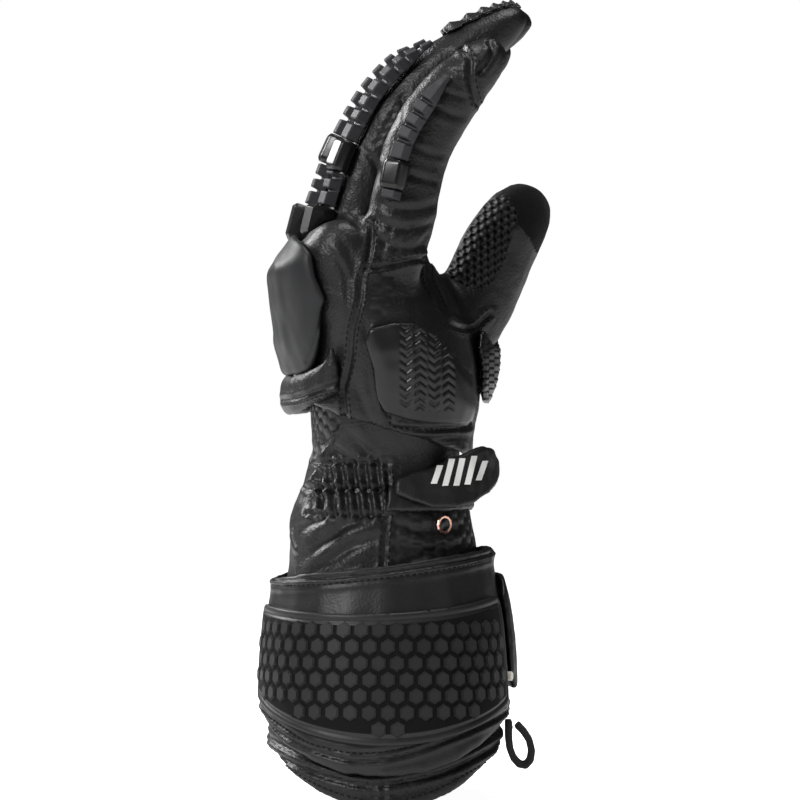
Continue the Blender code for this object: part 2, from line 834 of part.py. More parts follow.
def spine_ring(points, share, roll, width, height):
    half = width / 2
    outline = ((-1.0, 0.0), (1.0, 0.0), (0.7, 1.0), (-0.7, 1.0))
    return [
        on_finger(points, share, roll, across * half, SEAT_GAP + up * height)
        for across, up in outline
    ]


def make_spine(name, points, roll, start, end, notches, taper, collection):
    """A flexible guard along the back; each notch lowers the crest for a short way."""
    rings = []

    def ring_at(share, cut):
        left = taper and smooth((end - share) / (0.35 * (end - start)))
        size = mix(0.35, 1.0, left) if taper else 1.0
        rings.append(spine_ring(points, share, roll, SPINE_WIDTH * size, (SPINE_HEIGHT - cut) * size))

    ring_at(start, 0.0)
    place = share_of_length(points, start, NOTCH_PITCH)
    for _ in range(notches):
        near = share_of_length(points, place, NOTCH_WIDTH)
        if near >= end:
            break
        ring_at(place, 0.0)
        ring_at(mix(place, near, 0.25), NOTCH_DEPTH)
        ring_at(mix(place, near, 0.75), NOTCH_DEPTH)
        ring_at(near, 0.0)
        place = share_of_length(points, near, NOTCH_PITCH - NOTCH_WIDTH)
    for share in spread(0.0, 1.0, 4)[1:]:
        ring_at(mix(min(place, end), end, share), 0.0)
    add_object(name, loft_mesh(name, rings, True, True, True), MATTE_RUBBER, collection)


def make_link(name, points, roll, middle, width, height, collection):
    """The glossy saddle that joins two guards."""
    outline = ((-1.0, 0.0), (1.0, 0.0), (1.0, 0.55), (0.62, 1.0), (-0.62, 1.0), (-1.0, 0.55))
    rings = []
    for along, size in ((-0.5, 0.86), (-0.36, 1.0), (0.36, 1.0), (0.5, 0.86)):
        share = share_of_length(points, middle, along * LINK_LENGTH)
        rings.append(
            [
                on_finger(points, share, roll, across * size * width / 2, SEAT_GAP + up * size * height)
                for across, up in outline
            ]
        )
    return add_object(name, loft_mesh(name, rings, True, True, True), GLOSS_PLASTIC, collection)


LINK_SHARES = {"little": 0.180, "ring": 0.320, "middle": 0.335, "index": 0.300}
SPINE_STARTS = {"little": 0.125, "ring": 0.182, "middle": 0.182, "index": 0.228}
CAP_SHARES = {"ring": 0.132, "middle": 0.132, "index": 0.178}
SPINE_ENDS = {"little": 0.520, "ring": 0.640, "middle": 0.640, "index": 0.620}
RIB_START = 0.68
RIB_END = 0.94
RIB_COUNT = 6


def make_finger_guards(collection, palm_block):
    for finger in FINGERS:
        points = finger_points(finger)
        middle = LINK_SHARES[finger.name]
        make_link(
            "finger_link_" + finger.name, points, finger.roll, middle, LINK_WIDTH, LINK_HEIGHT, collection
        )
        gap = share_of_length(points, middle, -0.5 * LINK_LENGTH - SEAT_GAP)
        beyond = share_of_length(points, middle, 0.5 * LINK_LENGTH + SEAT_GAP)
        make_spine(
            "lower_guard_" + finger.name, points, finger.roll, SPINE_STARTS[finger.name], gap,
            finger.lower_notches, False, collection,
        )
        make_spine(
            "upper_guard_" + finger.name, points, finger.roll, beyond, SPINE_ENDS[finger.name],
            finger.upper_notches, True, collection,
        )
        if finger.name != "little":
            cap = make_link(
                "knuckle_cap_" + finger.name, points, finger.roll, CAP_SHARES[finger.name],
                CAP_WIDTH, CAP_HEIGHT, collection
            )
            add_boolean(cap, palm_block, "DIFFERENCE")
            make_ribs("fingertip_ribs_" + finger.name, points, collection)


def make_ribs(name, points, collection):
    """The ribbed stretch panel over a fingertip's back."""
    rings = []
    steps = 2 * RIB_COUNT
    for step in range(steps + 1):
        share = mix(RIB_START, RIB_END, step / steps)
        height = RIB_HEIGHT * (1.0 if step % 2 else 0.35)
        ring = []
        for across, up in ((-0.55, 0.0), (0.0, 0.0), (0.55, 0.0), (0.0, 1.0)):
            roll = -math.degrees(math.asin(across))
            ring.append(on_finger(points, share, roll, 0.0, RIB_SEAT + up * height))
        rings.append(ring)
    add_object(name, loft_mesh(name, rings, True, True, True), BLACK_LEATHER, collection)


def make_thumb_mesh(collection):
    """The stretch mesh let into the thumb's side that faces the fingers."""
    points = thumb_points()
    rings = []
    for share, low, high in (
        (0.50, 72.0, 92.0), (0.54, 50.0, 112.0), (0.60, 30.0, 118.0), (0.66, 15.0, 115.0),
        (0.72, 8.0, 108.0), (0.78, 12.0, 98.0), (0.83, 30.0, 80.0),
    ):
        ring = []
        for roll in spread(low, high, 4):
            ring.append(on_finger(points, share, roll, 0.0, SHELL_SEAT))
        for roll in reversed(spread(low, high, 4)):
            ring.append(on_finger(points, share, roll, 0.0, SHELL_SEAT + MESH_THICKNESS))
        rings.append(ring)
    mesh = loft_mesh("thumb_mesh_panel", rings, True, True, True)
    add_object("thumb_mesh_panel", mesh, STRETCH_MESH, collection)


# Hand shell


def hand_low(angle):
    return PALM_BASE + DORSAL_RISE * (1 - cosine(angle)) / 2


def make_hand(collection, cutters):
    shares = [row.height for row in PALM_ROWS]
    block_rings = wall_rings(
        lambda z: palm_section(z, SEAT_GAP), lambda angle: hand_low(angle) + HAND_HEM + TOUCH_GAP,
        lambda angle: PALM_TOP, shares, SLEEVE_SIDES,
    )
    block_rings[-1] = [point + Vector((0, 0, SEAT_GAP)) for point in block_rings[-1]]
    palm_block = make_block("palm_block", block_rings, cutters)
    cores = make_stalls(collection, palm_block)

    rings = wall_rings(
        palm_section, lambda angle: hand_low(angle) + HAND_HEM + TOUCH_GAP, lambda angle: PALM_TOP,
        shares, SLEEVE_SIDES,
    )
    hand = add_object("hand_shell", loft_mesh("hand_shell", rings, False, True), BLACK_LEATHER, collection)
    add_wall(hand, LEATHER)
    for name, core in cores:
        add_boolean(hand, make_block("core_" + name, core, cutters), "DIFFERENCE")
    make_band(
        "hand_hem", palm_section, hand_low, HAND_HEM, -LEATHER, 0.0008, BLACK_LEATHER, collection,
    )
    return palm_block


# Wrist closure


def make_strap(collection):
    """The strap that runs round the palm side of the wrist, under the tab."""
    middle = 0.728 * SLEEVE_HEIGHT
    make_band(
        "wrist_strap", sleeve_section, lambda angle: middle - 0.035 * SLEEVE_HEIGHT, 0.07 * SLEEVE_HEIGHT,
        SEAT_GAP, SEAT_GAP + STRAP_THICKNESS, BLACK_LEATHER, collection, span=(-88.0, 88.0, 17),
    )


def make_tab(collection):
    """The closing tab, which leaves the palm's edge and stands off the wrist at its free end."""
    base = SEAT_GAP + STRAP_THICKNESS + TOUCH_GAP
    columns = (
        (-84.0, 0.740, 0.772, 0.00), (-74.0, 0.722, 0.790, 0.02), (-62.0, 0.706, 0.800, 0.12),
        (-50.0, 0.708, 0.818, 0.34), (-38.0, 0.718, 0.836, 0.62), (-26.0, 0.738, 0.850, 0.85),
        (-14.0, 0.764, 0.842, 1.00), (-8.0, 0.782, 0.815, 1.00),
    )
    rings = []
    for angle, low, high, away in columns:
        inner = base + away * TAB_STANDOFF
        ring = []
        for across, share in ((0, low), (0, high), (1, high), (1, low)):
            z = share * SLEEVE_HEIGHT
            ring.append(section_point(sleeve_section(z, inner + across * TAB_THICKNESS), angle))
        rings.append(ring)
    add_object("wrist_tab", loft_mesh("wrist_tab", rings, True, True, True), BLACK_LEATHER, collection)


def make_ring(collection):
    """The small metal ring below the tab."""
    z = 0.666 * SLEEVE_HEIGHT
    angle = -52.0
    lift = SEAT_GAP + RING_WIRE
    place = section_point(sleeve_section(z, lift), angle)
    outward = place - section_point(sleeve_section(z, 0.0), angle)
    bpy.ops.mesh.primitive_torus_add(
        major_segments=12, minor_segments=5, major_radius=RING_RADIUS, minor_radius=RING_WIRE
    )
    ring = bpy.context.active_object
    ring.name = "strap_ring"
    ring.data.name = "strap_ring"
    ring.rotation_mode = "QUATERNION"
    ring.rotation_quaternion = outward.to_track_quat("Z", "Y")
    ring.location = place
    ring.data.materials.append(finish_material(RING_METAL))
    for owner in list(ring.users_collection):
        owner.objects.unlink(ring)
    collection.objects.link(ring)


# Cuff closure and pull loop


def make_flap(collection):
    """The free end of the wrap's closure, on the palm side."""
    columns = [
        Column(-12.0, 0.54 * WRAP_TOP, 0.86 * WRAP_TOP, 0.5 * FLAP_THICKNESS),
        Column(-6.0, 0.47 * WRAP_TOP, 0.93 * WRAP_TOP, FLAP_THICKNESS),
        Column(8.0, 0.46 * WRAP_TOP, 0.95 * WRAP_TOP, FLAP_THICKNESS),
        Column(24.0, 0.46 * WRAP_TOP, 0.95 * WRAP_TOP, FLAP_THICKNESS),
        Column(40.0, 0.46 * WRAP_TOP, 0.94 * WRAP_TOP, FLAP_THICKNESS),
    ]
    make_plate(
        "cuff_flap", wrap_section, columns, BLACK_LEATHER, collection, rows=5, edge=0.8, seat=CLOSE_SEAT
    )


def make_loop(collection):
    """A flat webbing loop hung from the binding at the palm side."""
    angle = -4.0
    outer = SEAT_GAP + 0.0008
    z = hem_low(angle) + 0.5 * HEM_BINDING
    seat = section_point(sleeve_section(z, outer), angle)
    half = LOOP_WIDTH / 2
    route = (
        (0.0, 0.55), (0.0, 0.0), (0.04, -0.35), (0.16, -0.66), (0.34, -0.86),
        (0.54, -0.90), (0.70, -0.72), (0.74, -0.42), (0.66, -0.08), (0.48, 0.20), (0.26, 0.42),
    )
    middle = [seat + Vector((a * LOOP_DROP + LOOP_THICKNESS / 2, 0, b * LOOP_DROP)) for a, b in route]
    rings = []
    for i, point in enumerate(middle):
        ahead = middle[min(i + 1, len(middle) - 1)] - middle[max(i - 1, 0)]
        out = Vector((ahead.z, 0, -ahead.x)).normalized() * LOOP_THICKNESS / 2
        rings.append(
            [
                point + sign_out * out + Vector((0, sign_y * half, 0))
                for sign_out, sign_y in ((-1, -1), (1, -1), (1, 1), (-1, 1))
            ]
        )
    add_object("pull_loop", loft_mesh("pull_loop", rings, True, True, True), WEBBING, collection)


def make_stud(collection):
    """The pale six-sided stud at the armour's end nearest the palm."""
    z = 0.53 * WRAP_TOP
    angle = ARMOUR_END + 2.2 + math.degrees(STUD_SIZE / HEM_WIDTH)
    bottom = section_point(wrap_section(z, SEAT_GAP), angle)
    top = section_point(wrap_section(z, SEAT_GAP + ARMOUR_THICKNESS + TILE_HEIGHT), angle)
    bpy.ops.mesh.primitive_cylinder_add(vertices=6, radius=STUD_SIZE / 2, depth=(top - bottom).length)
    stud = bpy.context.active_object
    stud.name = "reflective_stud"
    stud.rotation_mode = "QUATERNION"
    stud.rotation_quaternion = (top - bottom).to_track_quat("Z", "Y")
    stud.location = (top + bottom) / 2
    stud.data.materials.append(finish_material(CREAM_STUD))
    for owner in list(stud.users_collection):
        owner.objects.unlink(stud)
    collection.objects.link(stud)


def main():
    clear_scene()
    glove = new_collection("motorcycle_glove")
    cutters = new_collection("cutters")
    make_sleeve(glove)
    make_wrap(glove)
    make_pipings(glove)
    make_armour(glove, cutters)
    palm_block = make_hand(glove, cutters)
    make_hand_guards(glove, cutters)
    make_finger_guards(glove, palm_block)
    make_thumb_mesh(glove)
    make_strap(glove)
    make_tab(glove)
    make_ring(glove)
    make_flap(glove)
    make_loop(glove)
    make_stud(glove)


main()
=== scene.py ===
"""Looks of a right-hand leather motorcycle gauntlet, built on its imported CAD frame.

Lengths are in metres. Lines on the leather are drawn on a side view's grid: GRID is one step,
ACROSS and UP are the place of its corner in the frame.
"""

import json
import math

import bmesh
import bpy
import numpy as np
from bpy.props import FloatProperty, FloatVectorProperty, IntProperty, PointerProperty
from mathutils import Matrix, Vector, noise
from mathutils.bvhtree import BVHTree


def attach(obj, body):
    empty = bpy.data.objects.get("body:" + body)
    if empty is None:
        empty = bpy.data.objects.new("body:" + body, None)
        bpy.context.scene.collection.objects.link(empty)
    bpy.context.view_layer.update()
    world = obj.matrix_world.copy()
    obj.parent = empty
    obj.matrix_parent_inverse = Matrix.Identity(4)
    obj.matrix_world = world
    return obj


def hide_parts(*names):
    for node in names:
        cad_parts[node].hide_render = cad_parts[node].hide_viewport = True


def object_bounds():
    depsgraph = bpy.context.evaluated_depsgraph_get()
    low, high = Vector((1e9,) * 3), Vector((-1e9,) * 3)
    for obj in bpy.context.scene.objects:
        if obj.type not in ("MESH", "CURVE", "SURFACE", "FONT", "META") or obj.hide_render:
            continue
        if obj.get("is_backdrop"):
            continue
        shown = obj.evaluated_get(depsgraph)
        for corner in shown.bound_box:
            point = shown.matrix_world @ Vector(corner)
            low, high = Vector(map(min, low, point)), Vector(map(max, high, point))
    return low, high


bl_info = {
    "name": "Motorcycle Gauntlet",
    "version": (1, 0, 0),
    "blender": (4, 5, 0),
    "location": "View3D > Sidebar > Gauntlet",
    "description": "Leather, stitching, guards and a studio stage for a motorcycle gauntlet",
    "category": "Object",
}

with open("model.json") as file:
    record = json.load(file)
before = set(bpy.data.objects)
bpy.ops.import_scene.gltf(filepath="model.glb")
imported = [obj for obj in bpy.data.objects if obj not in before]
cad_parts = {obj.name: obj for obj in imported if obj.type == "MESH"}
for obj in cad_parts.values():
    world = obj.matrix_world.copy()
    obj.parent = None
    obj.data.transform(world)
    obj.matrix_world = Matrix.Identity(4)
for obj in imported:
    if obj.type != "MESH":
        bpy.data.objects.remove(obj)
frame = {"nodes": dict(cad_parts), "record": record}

GRID = 0.00038
ACROSS = -385 * GRID
UP = 799 * GRID
MIDDLE = Vector((400 * GRID + ACROSS, 0.0, UP - 400 * GRID))
VIEW_DISTANCE = 1.7
VIEW_WIDTH = 800 * GRID


def at(points):
    """Grid points as places across and up in the frame."""
    table = np.array(points, float)
    return np.column_stack((table[:, 0] * GRID + ACROSS, UP - table[:, 1] * GRID))


# Materials


class Shader:
    """A Principled material under construction."""

    def __init__(self, name, colour, roughness, metallic=0.0, coat=0.0, sheen=0.0, specular=0.5):
        self.material = bpy.data.materials.new(name)
        self.material.use_nodes = True
        self.tree = self.material.node_tree
        self.shader = self.tree.nodes["Principled BSDF"]
        self.put("Base Color", (*colour, 1.0))
        self.put("Roughness", roughness)
        self.put("Metallic", metallic)
        self.put("Coat Weight", coat)
        self.put("Coat Roughness", 0.12)
        self.put("Sheen Weight", sheen)
        self.put("Specular IOR Level", specular)
        self.coords = self.tree.nodes.new("ShaderNodeTexCoord").outputs["Object"]
        self.last = None

    def put(self, socket, value):
        self.shader.inputs[socket].default_value = value

    def node(self, kind, inputs=(), **settings):
        made = self.tree.nodes.new(kind)
        for key, value in settings.items():
            setattr(made, key, value)
        for socket, value in dict(inputs).items():
            if hasattr(value, "links"):
                self.tree.links.new(value, made.inputs[socket])
            else:
                made.inputs[socket].default_value = value
        return made

    def noise(self, scale, detail=3.0, roughness=0.5, vector=None):
        values = {"Vector": vector or self.coords, "Scale": scale, "Detail": detail, "Roughness": roughness}
        return self.node("ShaderNodeTexNoise", values).outputs["Fac"]

    def cells(self, scale, feature="F1", randomness=1.0, vector=None):
        values = {"Vector": vector or self.coords, "Scale": scale, "Randomness": randomness}
        return self.node("ShaderNodeTexVoronoi", values, feature=feature).outputs["Distance"]

    def math(self, operation, a, b=0.0):
        return self.node("ShaderNodeMath", {0: a, 1: b}, operation=operation).outputs[0]

    def spread(self, value, low, high):
        """A value from 0 to 1 as one from low to high."""
        made = self.node("ShaderNodeMapRange", {"Value": value, "To Min": low, "To Max": high})
        return made.outputs["Result"]

    def rough(self, value, low, high):
        self.tree.links.new(self.spread(value, low, high), self.shader.inputs["Roughness"])

    def bump(self, height, strength, distance):
        values = {"Height": height, "Strength": strength, "Distance": distance}
        if self.last:
            values["Normal"] = self.last
        self.last = self.node("ShaderNodeBump", values).outputs["Normal"]
        self.tree.links.new(self.last, self.shader.inputs["Normal"])

    def tint(self, value, low, high):
        made = self.node(
            "ShaderNodeMix", {0: value, 6: (*low, 1.0), 7: (*high, 1.0)}, data_type="RGBA"
        )
        self.tree.links.new(made.outputs[2], self.shader.inputs["Base Color"])

    def hexes(self, pitch, radius=None):
        """Six-sided bumps, flat or wrapped round the wrist: 0 between them and 1 at each middle."""
        split = self.node("ShaderNodeSeparateXYZ", {0: self.coords})
        along = split.outputs[0]
        if radius:
            turn = self.math("ARCTAN2", split.outputs[1], split.outputs[0])
            along = self.math("MULTIPLY", turn, radius)
        total = None
        for angle in (0.0, 120.0, 240.0):
            step = 4 * math.pi / (pitch * math.sqrt(3))
            a = self.math("MULTIPLY", along, step * math.cos(math.radians(angle)))
            b = self.math("MULTIPLY", split.outputs[2], step * math.sin(math.radians(angle)))
            wave = self.math("COSINE", self.math("ADD", a, b))
            total = wave if total is None else self.math("ADD", total, wave)
        return self.math("MULTIPLY", self.math("ADD", total, 1.5), 1 / 4.5)


WRAP_LIGHTER = 1.5


def leather_material(name, colour, grain=0.0009, depth=0.00022, low=0.34, high=0.52, creases=1.0):
    made = Shader(name, colour, 0.45, specular=0.32)
    made.tint(made.noise(38.0, 4.0), tuple(c * 0.8 for c in colour), tuple(c * 1.25 for c in colour))
    made.rough(made.noise(90.0, 5.0, 0.65), low, high)
    made.bump(made.noise(160.0, 4.0, 0.55), 0.5, 0.0010 * creases)
    made.bump(made.cells(1 / grain, "SMOOTH_F1"), 0.6, depth)
    return made.material


def make_materials():
    colours = bpy.context.scene.gauntlet_colours
    made = {}
    leather = tuple(colours.leather)
    made["leather"] = leather_material("leather", leather)
    lighter = tuple(c * WRAP_LIGHTER for c in leather)
    made["wrap_leather"] = leather_material("wrap_leather", lighter, 0.0008, 0.00010, 0.36, 0.5, 0.25)
    made["piping"] = leather_material("piping", leather, 0.0008, 0.0001, 0.25, 0.42)
    emboss = Shader("embossed_leather", leather, 0.5, specular=0.3)
    emboss.rough(emboss.noise(70.0, 4.0), 0.36, 0.56)
    emboss.bump(emboss.math("SMOOTH_MIN", emboss.hexes(0.0050, 0.034), 0.55), 0.8, 0.0009)
    emboss.bump(emboss.noise(900.0, 2.0), 0.4, 0.0002)
    made["embossed_leather"] = emboss.material
    shell = Shader("shell_rubber", tuple(colours.shell), 0.5, specular=0.3)
    shell.rough(shell.noise(60.0, 3.0), 0.42, 0.56)
    shell.bump(shell.noise(1600.0, 2.0), 0.25, 0.0001)
    made["shell_rubber"] = shell.material
    for name, colour, low, high in (
        ("armour_rubber", colours.armour, 0.36, 0.55),
        ("slider_rubber", colours.slider, 0.26, 0.40),
        ("guard_rubber", colours.guard, 0.46, 0.62),
    ):
        rubber = Shader(name, tuple(colour), 0.5, specular=0.35)
        rubber.rough(rubber.noise(80.0, 4.0), low, high)
        rubber.bump(rubber.noise(1100.0, 2.0), 0.3, 0.00012)
        made[name] = rubber.material
    gloss = Shader("gloss_plastic", (0.005, 0.005, 0.005), 0.3, coat=0.1, specular=0.35)
    made["gloss_plastic"] = gloss.material
    mesh = Shader("stretch_mesh", (0.02, 0.02, 0.02), 0.5, specular=0.25)
    holes = mesh.spread(mesh.hexes(0.0030), 1.0, -0.6)
    mesh.tint(holes, (0.001, 0.001, 0.001), (0.014, 0.014, 0.015))
    mesh.bump(holes, 1.0, 0.0010)
    made["stretch_mesh"] = mesh.material
    web = Shader("webbing", (0.008, 0.008, 0.008), 0.75, sheen=0.2)
    web.bump(web.noise(2200.0, 2.0), 0.6, 0.0003)
    made["webbing"] = web.material
    made["ring_metal"] = Shader("ring_metal", tuple(colours.metal), 0.28, metallic=1.0).material
    made["reflective_stud"] = Shader("reflective_stud", (0.80, 0.77, 0.66), 0.4).material
    made["thread"] = Shader("thread", (0.003, 0.003, 0.003), 0.6, specular=0.2).material
    # Painted shade: a near-black finish for the armour panel among the studs, standing in for the shade in
    # the gaps between them.
    made["armour_painted_shade"] = Shader("armour_painted_shade", (0.004, 0.004, 0.004), 0.7, specular=0.12).material
    suede = Shader("suede", (0.004, 0.004, 0.004), 0.85, sheen=0.05, specular=0.15)
    suede.bump(suede.noise(1500.0, 3.0), 0.8, 0.0004)
    made["suede"] = suede.material
    made["bars"] = Shader("reflective_bars", (0.78, 0.78, 0.76), 0.35).material
    return made


MATERIALS = {}


# Meshes


def joined(names, fills=()):
    """The CAD nodes' meshes as one, with round fills where two of them leave a pocket."""
    shape = bmesh.new()
    for place, radius in fills:
        spot = Matrix.Translation(place)
        bmesh.ops.create_icosphere(shape, subdivisions=3, radius=radius, matrix=spot)
    for name in names:
        shape.from_mesh(frame["nodes"][name].data)
    mesh = bpy.data.meshes.new(names[0])
    shape.to_mesh(mesh)
    shape.free()
    return mesh


def finished(obj):
    """The object's mesh with its modifiers made plain."""
    plain = bpy.data.meshes.new_from_object(obj.evaluated_get(bpy.context.evaluated_depsgraph_get()))
    plain.name = obj.name
    obj.modifiers.clear()
    obj.data = plain
    return plain


def add_piece(name, mesh, slot, nodes=()):
    obj = bpy.data.objects.new(name, mesh)
    bpy.context.scene.collection.objects.link(obj)
    mesh.materials.clear()
    mesh.materials.append(MATERIALS[slot])
    mesh.shade_smooth()
    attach(obj, "root")
    if nodes:
        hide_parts(*nodes)
    return obj


def coords(mesh):
    flat = np.empty(len(mesh.vertices) * 3)
    mesh.vertices.foreach_get("co", flat)
    return flat.reshape(-1, 3)


def normals(mesh):
    flat = np.empty(len(mesh.vertices) * 3)
    mesh.vertex_normals.foreach_get("vector", flat)
    return flat.reshape(-1, 3)


def put(mesh, places):
    mesh.vertices.foreach_set("co", places.ravel())
    mesh.update()


def relax(mesh, passes):
    """Rounds off a mesh's facets. What the rounding shrinks is put back evenly."""
    ends = np.empty(len(mesh.edges) * 2, int)
    mesh.edges.foreach_get("vertices", ends)
    a, b = ends[::2], ends[1::2]
    count = len(mesh.vertices)
    near = np.maximum(np.bincount(a, minlength=count) + np.bincount(b, minlength=count), 1)

    def even(column):
        total = np.bincount(a, column[b], count) + np.bincount(b, column[a], count)
        return column + 0.6 * (total / near - column)

    first = coords(mesh)
    places = first.copy()
    for _ in range(passes):
        for k in range(3):
            places[:, k] = even(places[:, k])
    put(mesh, places)
    out = normals(mesh)
    lost = ((first - places) * out).sum(axis=1)
    for _ in range(passes):
        lost = even(lost)
    put(mesh, places + out * lost[:, None])


def remeshed(name, nodes, voxel, passes, fills=()):
    """The nodes merged into one fine, smooth mesh."""
    obj = bpy.data.objects.new(name, joined(nodes, fills))
    bpy.context.scene.collection.objects.link(obj)
    step = obj.modifiers.new("merge", "REMESH")
    step.mode = "VOXEL"
    step.voxel_size = voxel
    finished(obj)
    mesh = obj.data
    relax(mesh, passes)
    bpy.data.objects.remove(obj)
    return mesh


def line_distance(across, up, line):
    """Distance from each place to a line, and how far along the line its foot lies, from 0 to 1."""
    best = np.full(len(across), 1e9)
    along = np.zeros(len(across))
    steps = np.linalg.norm(np.diff(line, axis=0), axis=1)
    total = steps.sum()
    gone = 0.0
    for start, end, step in zip(line, line[1:], steps):
        way = (end - start) / max(step, 1e-9)
        t = np.clip((across - start[0]) * way[0] + (up - start[1]) * way[1], 0, step)
        d = np.hypot(across - start[0] - t * way[0], up - start[1] - t * way[1])
        nearer = d < best
        best[nearer] = d[nearer]
        along[nearer] = (gone + t[nearer]) / total
        gone += step
    return best, along


def curve_line(points, steps=6):
    """A smooth line through grid points."""
    knots = at(points)
    if len(knots) < 3:
        return knots
    out = []
    for i in range(len(knots) - 1):
        p0, p1, p2 = knots[max(i - 1, 0)], knots[i], knots[i + 1]
        p3 = knots[min(i + 2, len(knots) - 1)]
        for s in range(steps):
            t = s / steps
            out.append(
                0.5 * (2 * p1 + (p2 - p0) * t + (2 * p0 - 5 * p1 + 4 * p2 - p3) * t * t
                       + (3 * p1 - p0 - 3 * p2 + p3) * t**3)
            )
    out.append(knots[-1])
    return np.array(out)


class Carver:
    """Presses seams, folds and puffs into a mesh, seen from the little finger's side."""

    def __init__(self, mesh):
        self.mesh = mesh
        self.places = coords(mesh)
        self.out = normals(mesh)
        self.across = self.places[:, 0].copy()
        self.up = self.places[:, 2].copy()
        self.move = np.zeros(len(self.places))

    def shown(self, near=-1.0, far=1.0):
        depth = self.places[:, 1]
        facing = np.clip((0.15 - self.out[:, 1]) / 0.35, 0, 1)
        return facing * (depth > near) * (depth < far)

    def press(self, line, width, depth, near=-1.0, far=1.0, taper=False, puff=0.0):
        """A groove along the line; puff swells the leather on both sides of it."""
        reach = 4 * width
        low = line.min(axis=0) - reach
        high = line.max(axis=0) + reach
        pick = np.flatnonzero(
            (self.across > low[0]) & (self.across < high[0]) & (self.up > low[1]) & (self.up < high[1])
        )
        if not len(pick):
            return
        d, along = line_distance(self.across[pick], self.up[pick], line)
        amount = -depth * np.exp(-((d / width) ** 2))
        if puff:
            amount += puff * np.exp(-(((d - 2.2 * width) / (1.3 * width)) ** 2))
        if taper:
            amount *= np.sin(np.pi * np.clip(along, 0.02, 0.98)) ** 0.7
        self.move[pick] += amount * self.shown(near, far)[pick]

    def swell(self, values):
        self.move += values

    def raise_top(self, rise):
        """Lifts the upper part of the piece."""
        low, high = self.up.min(), self.up.max()
        share = np.clip((self.up - low) / (high - low), 0, 1)
        self.places[:, 2] += rise * share ** 2

    def wrinkle(self, scale, height, mask=None, stretch=(1, 1, 1)):
        """Uneven soft relief."""
        points = self.places * np.array(stretch) * scale
        values = np.array([noise.fractal(Vector(p), 1.0, 2.0, 3) for p in points])
        self.move += height * values * (1.0 if mask is None else mask)

    def done(self):
        put(self.mesh, self.places + self.out * self.move[:, None])


def thin_inside(mesh, name, outer_share):
    """Makes the faces inside the glove much coarser; the outer ones keep their detail."""
    shape = bmesh.new()
    shape.from_mesh(mesh)
    tree = BVHTree.FromBMesh(shape)
    shape.free()
    places = coords(mesh)
    out = normals(mesh)
    hidden = []
    for i, (place, way) in enumerate(zip(places, out)):
        hit = tree.ray_cast(Vector(place + way * 0.0005), Vector(way), 0.075)
        if hit[0] is not None and hit[3] > 0.006:
            hidden.append(i)
    obj = bpy.data.objects.new(name, mesh)
    bpy.context.scene.collection.objects.link(obj)
    group = obj.vertex_groups.new(name="inside")
    group.add(hidden, 1.0, "REPLACE")
    step = obj.modifiers.new("thin", "DECIMATE")
    step.vertex_group = "inside"
    step.ratio = 1 - outer_share * len(hidden) / len(places)
    thin = finished(obj)
    bpy.data.objects.remove(obj)
    return thin


def tree_of(mesh):
    shape = bmesh.new()
    shape.from_mesh(mesh)
    tree = BVHTree.FromBMesh(shape)
    shape.free()
    return tree


def on_surface(tree, line, lift=0.0):
    """The line's points laid on what shows from the little finger's side."""
    out = []
    for across, up in line:
        hit = tree.ray_cast(Vector((across, -0.3, up)), Vector((0, 1, 0)))
        if hit[0] is not None:
            out.append(hit[0] + hit[1] * lift)
    return out


# Stitching


def stitch_group():
    """Geometry nodes that lay stitches along curves."""
    tree = bpy.data.node_groups.new("stitch_line", "GeometryNodeTree")
    face = tree.interface
    face.new_socket("Geometry", in_out="INPUT", socket_type="NodeSocketGeometry")
    for name in ("Pitch", "Length", "Thickness"):
        face.new_socket(name, in_out="INPUT", socket_type="NodeSocketFloat")
    face.new_socket("Material", in_out="INPUT", socket_type="NodeSocketMaterial")
    face.new_socket("Geometry", in_out="OUTPUT", socket_type="NodeSocketGeometry")
    nodes = tree.nodes
    link = tree.links.new
    source = nodes.new("NodeGroupInput")
    points = nodes.new("GeometryNodeCurveToPoints")
    points.mode = "LENGTH"
    ball = nodes.new("GeometryNodeMeshUVSphere")
    ball.inputs["Segments"].default_value = 8
    ball.inputs["Rings"].default_value = 6
    ball.inputs["Radius"].default_value = 0.5
    size = nodes.new("ShaderNodeCombineXYZ")
    turn = nodes.new("FunctionNodeAlignRotationToVector")
    turn.axis = "Z"
    copies = nodes.new("GeometryNodeInstanceOnPoints")
    real = nodes.new("GeometryNodeRealizeInstances")
    paint = nodes.new("GeometryNodeSetMaterial")
    result = nodes.new("NodeGroupOutput")
    link(source.outputs["Geometry"], points.inputs["Curve"])
    link(source.outputs["Pitch"], points.inputs["Length"])
    link(points.outputs["Points"], copies.inputs["Points"])
    link(points.outputs["Tangent"], turn.inputs["Vector"])
    link(turn.outputs["Rotation"], copies.inputs["Rotation"])
    link(ball.outputs["Mesh"], copies.inputs["Instance"])
    link(source.outputs["Thickness"], size.inputs[0])
    link(source.outputs["Thickness"], size.inputs[1])
    link(source.outputs["Length"], size.inputs[2])
    link(size.outputs[0], copies.inputs["Scale"])
    link(copies.outputs["Instances"], real.inputs["Geometry"])
    link(real.outputs["Geometry"], paint.inputs["Geometry"])
    link(source.outputs["Material"], paint.inputs["Material"])
    link(paint.outputs["Geometry"], result.inputs["Geometry"])
    return tree


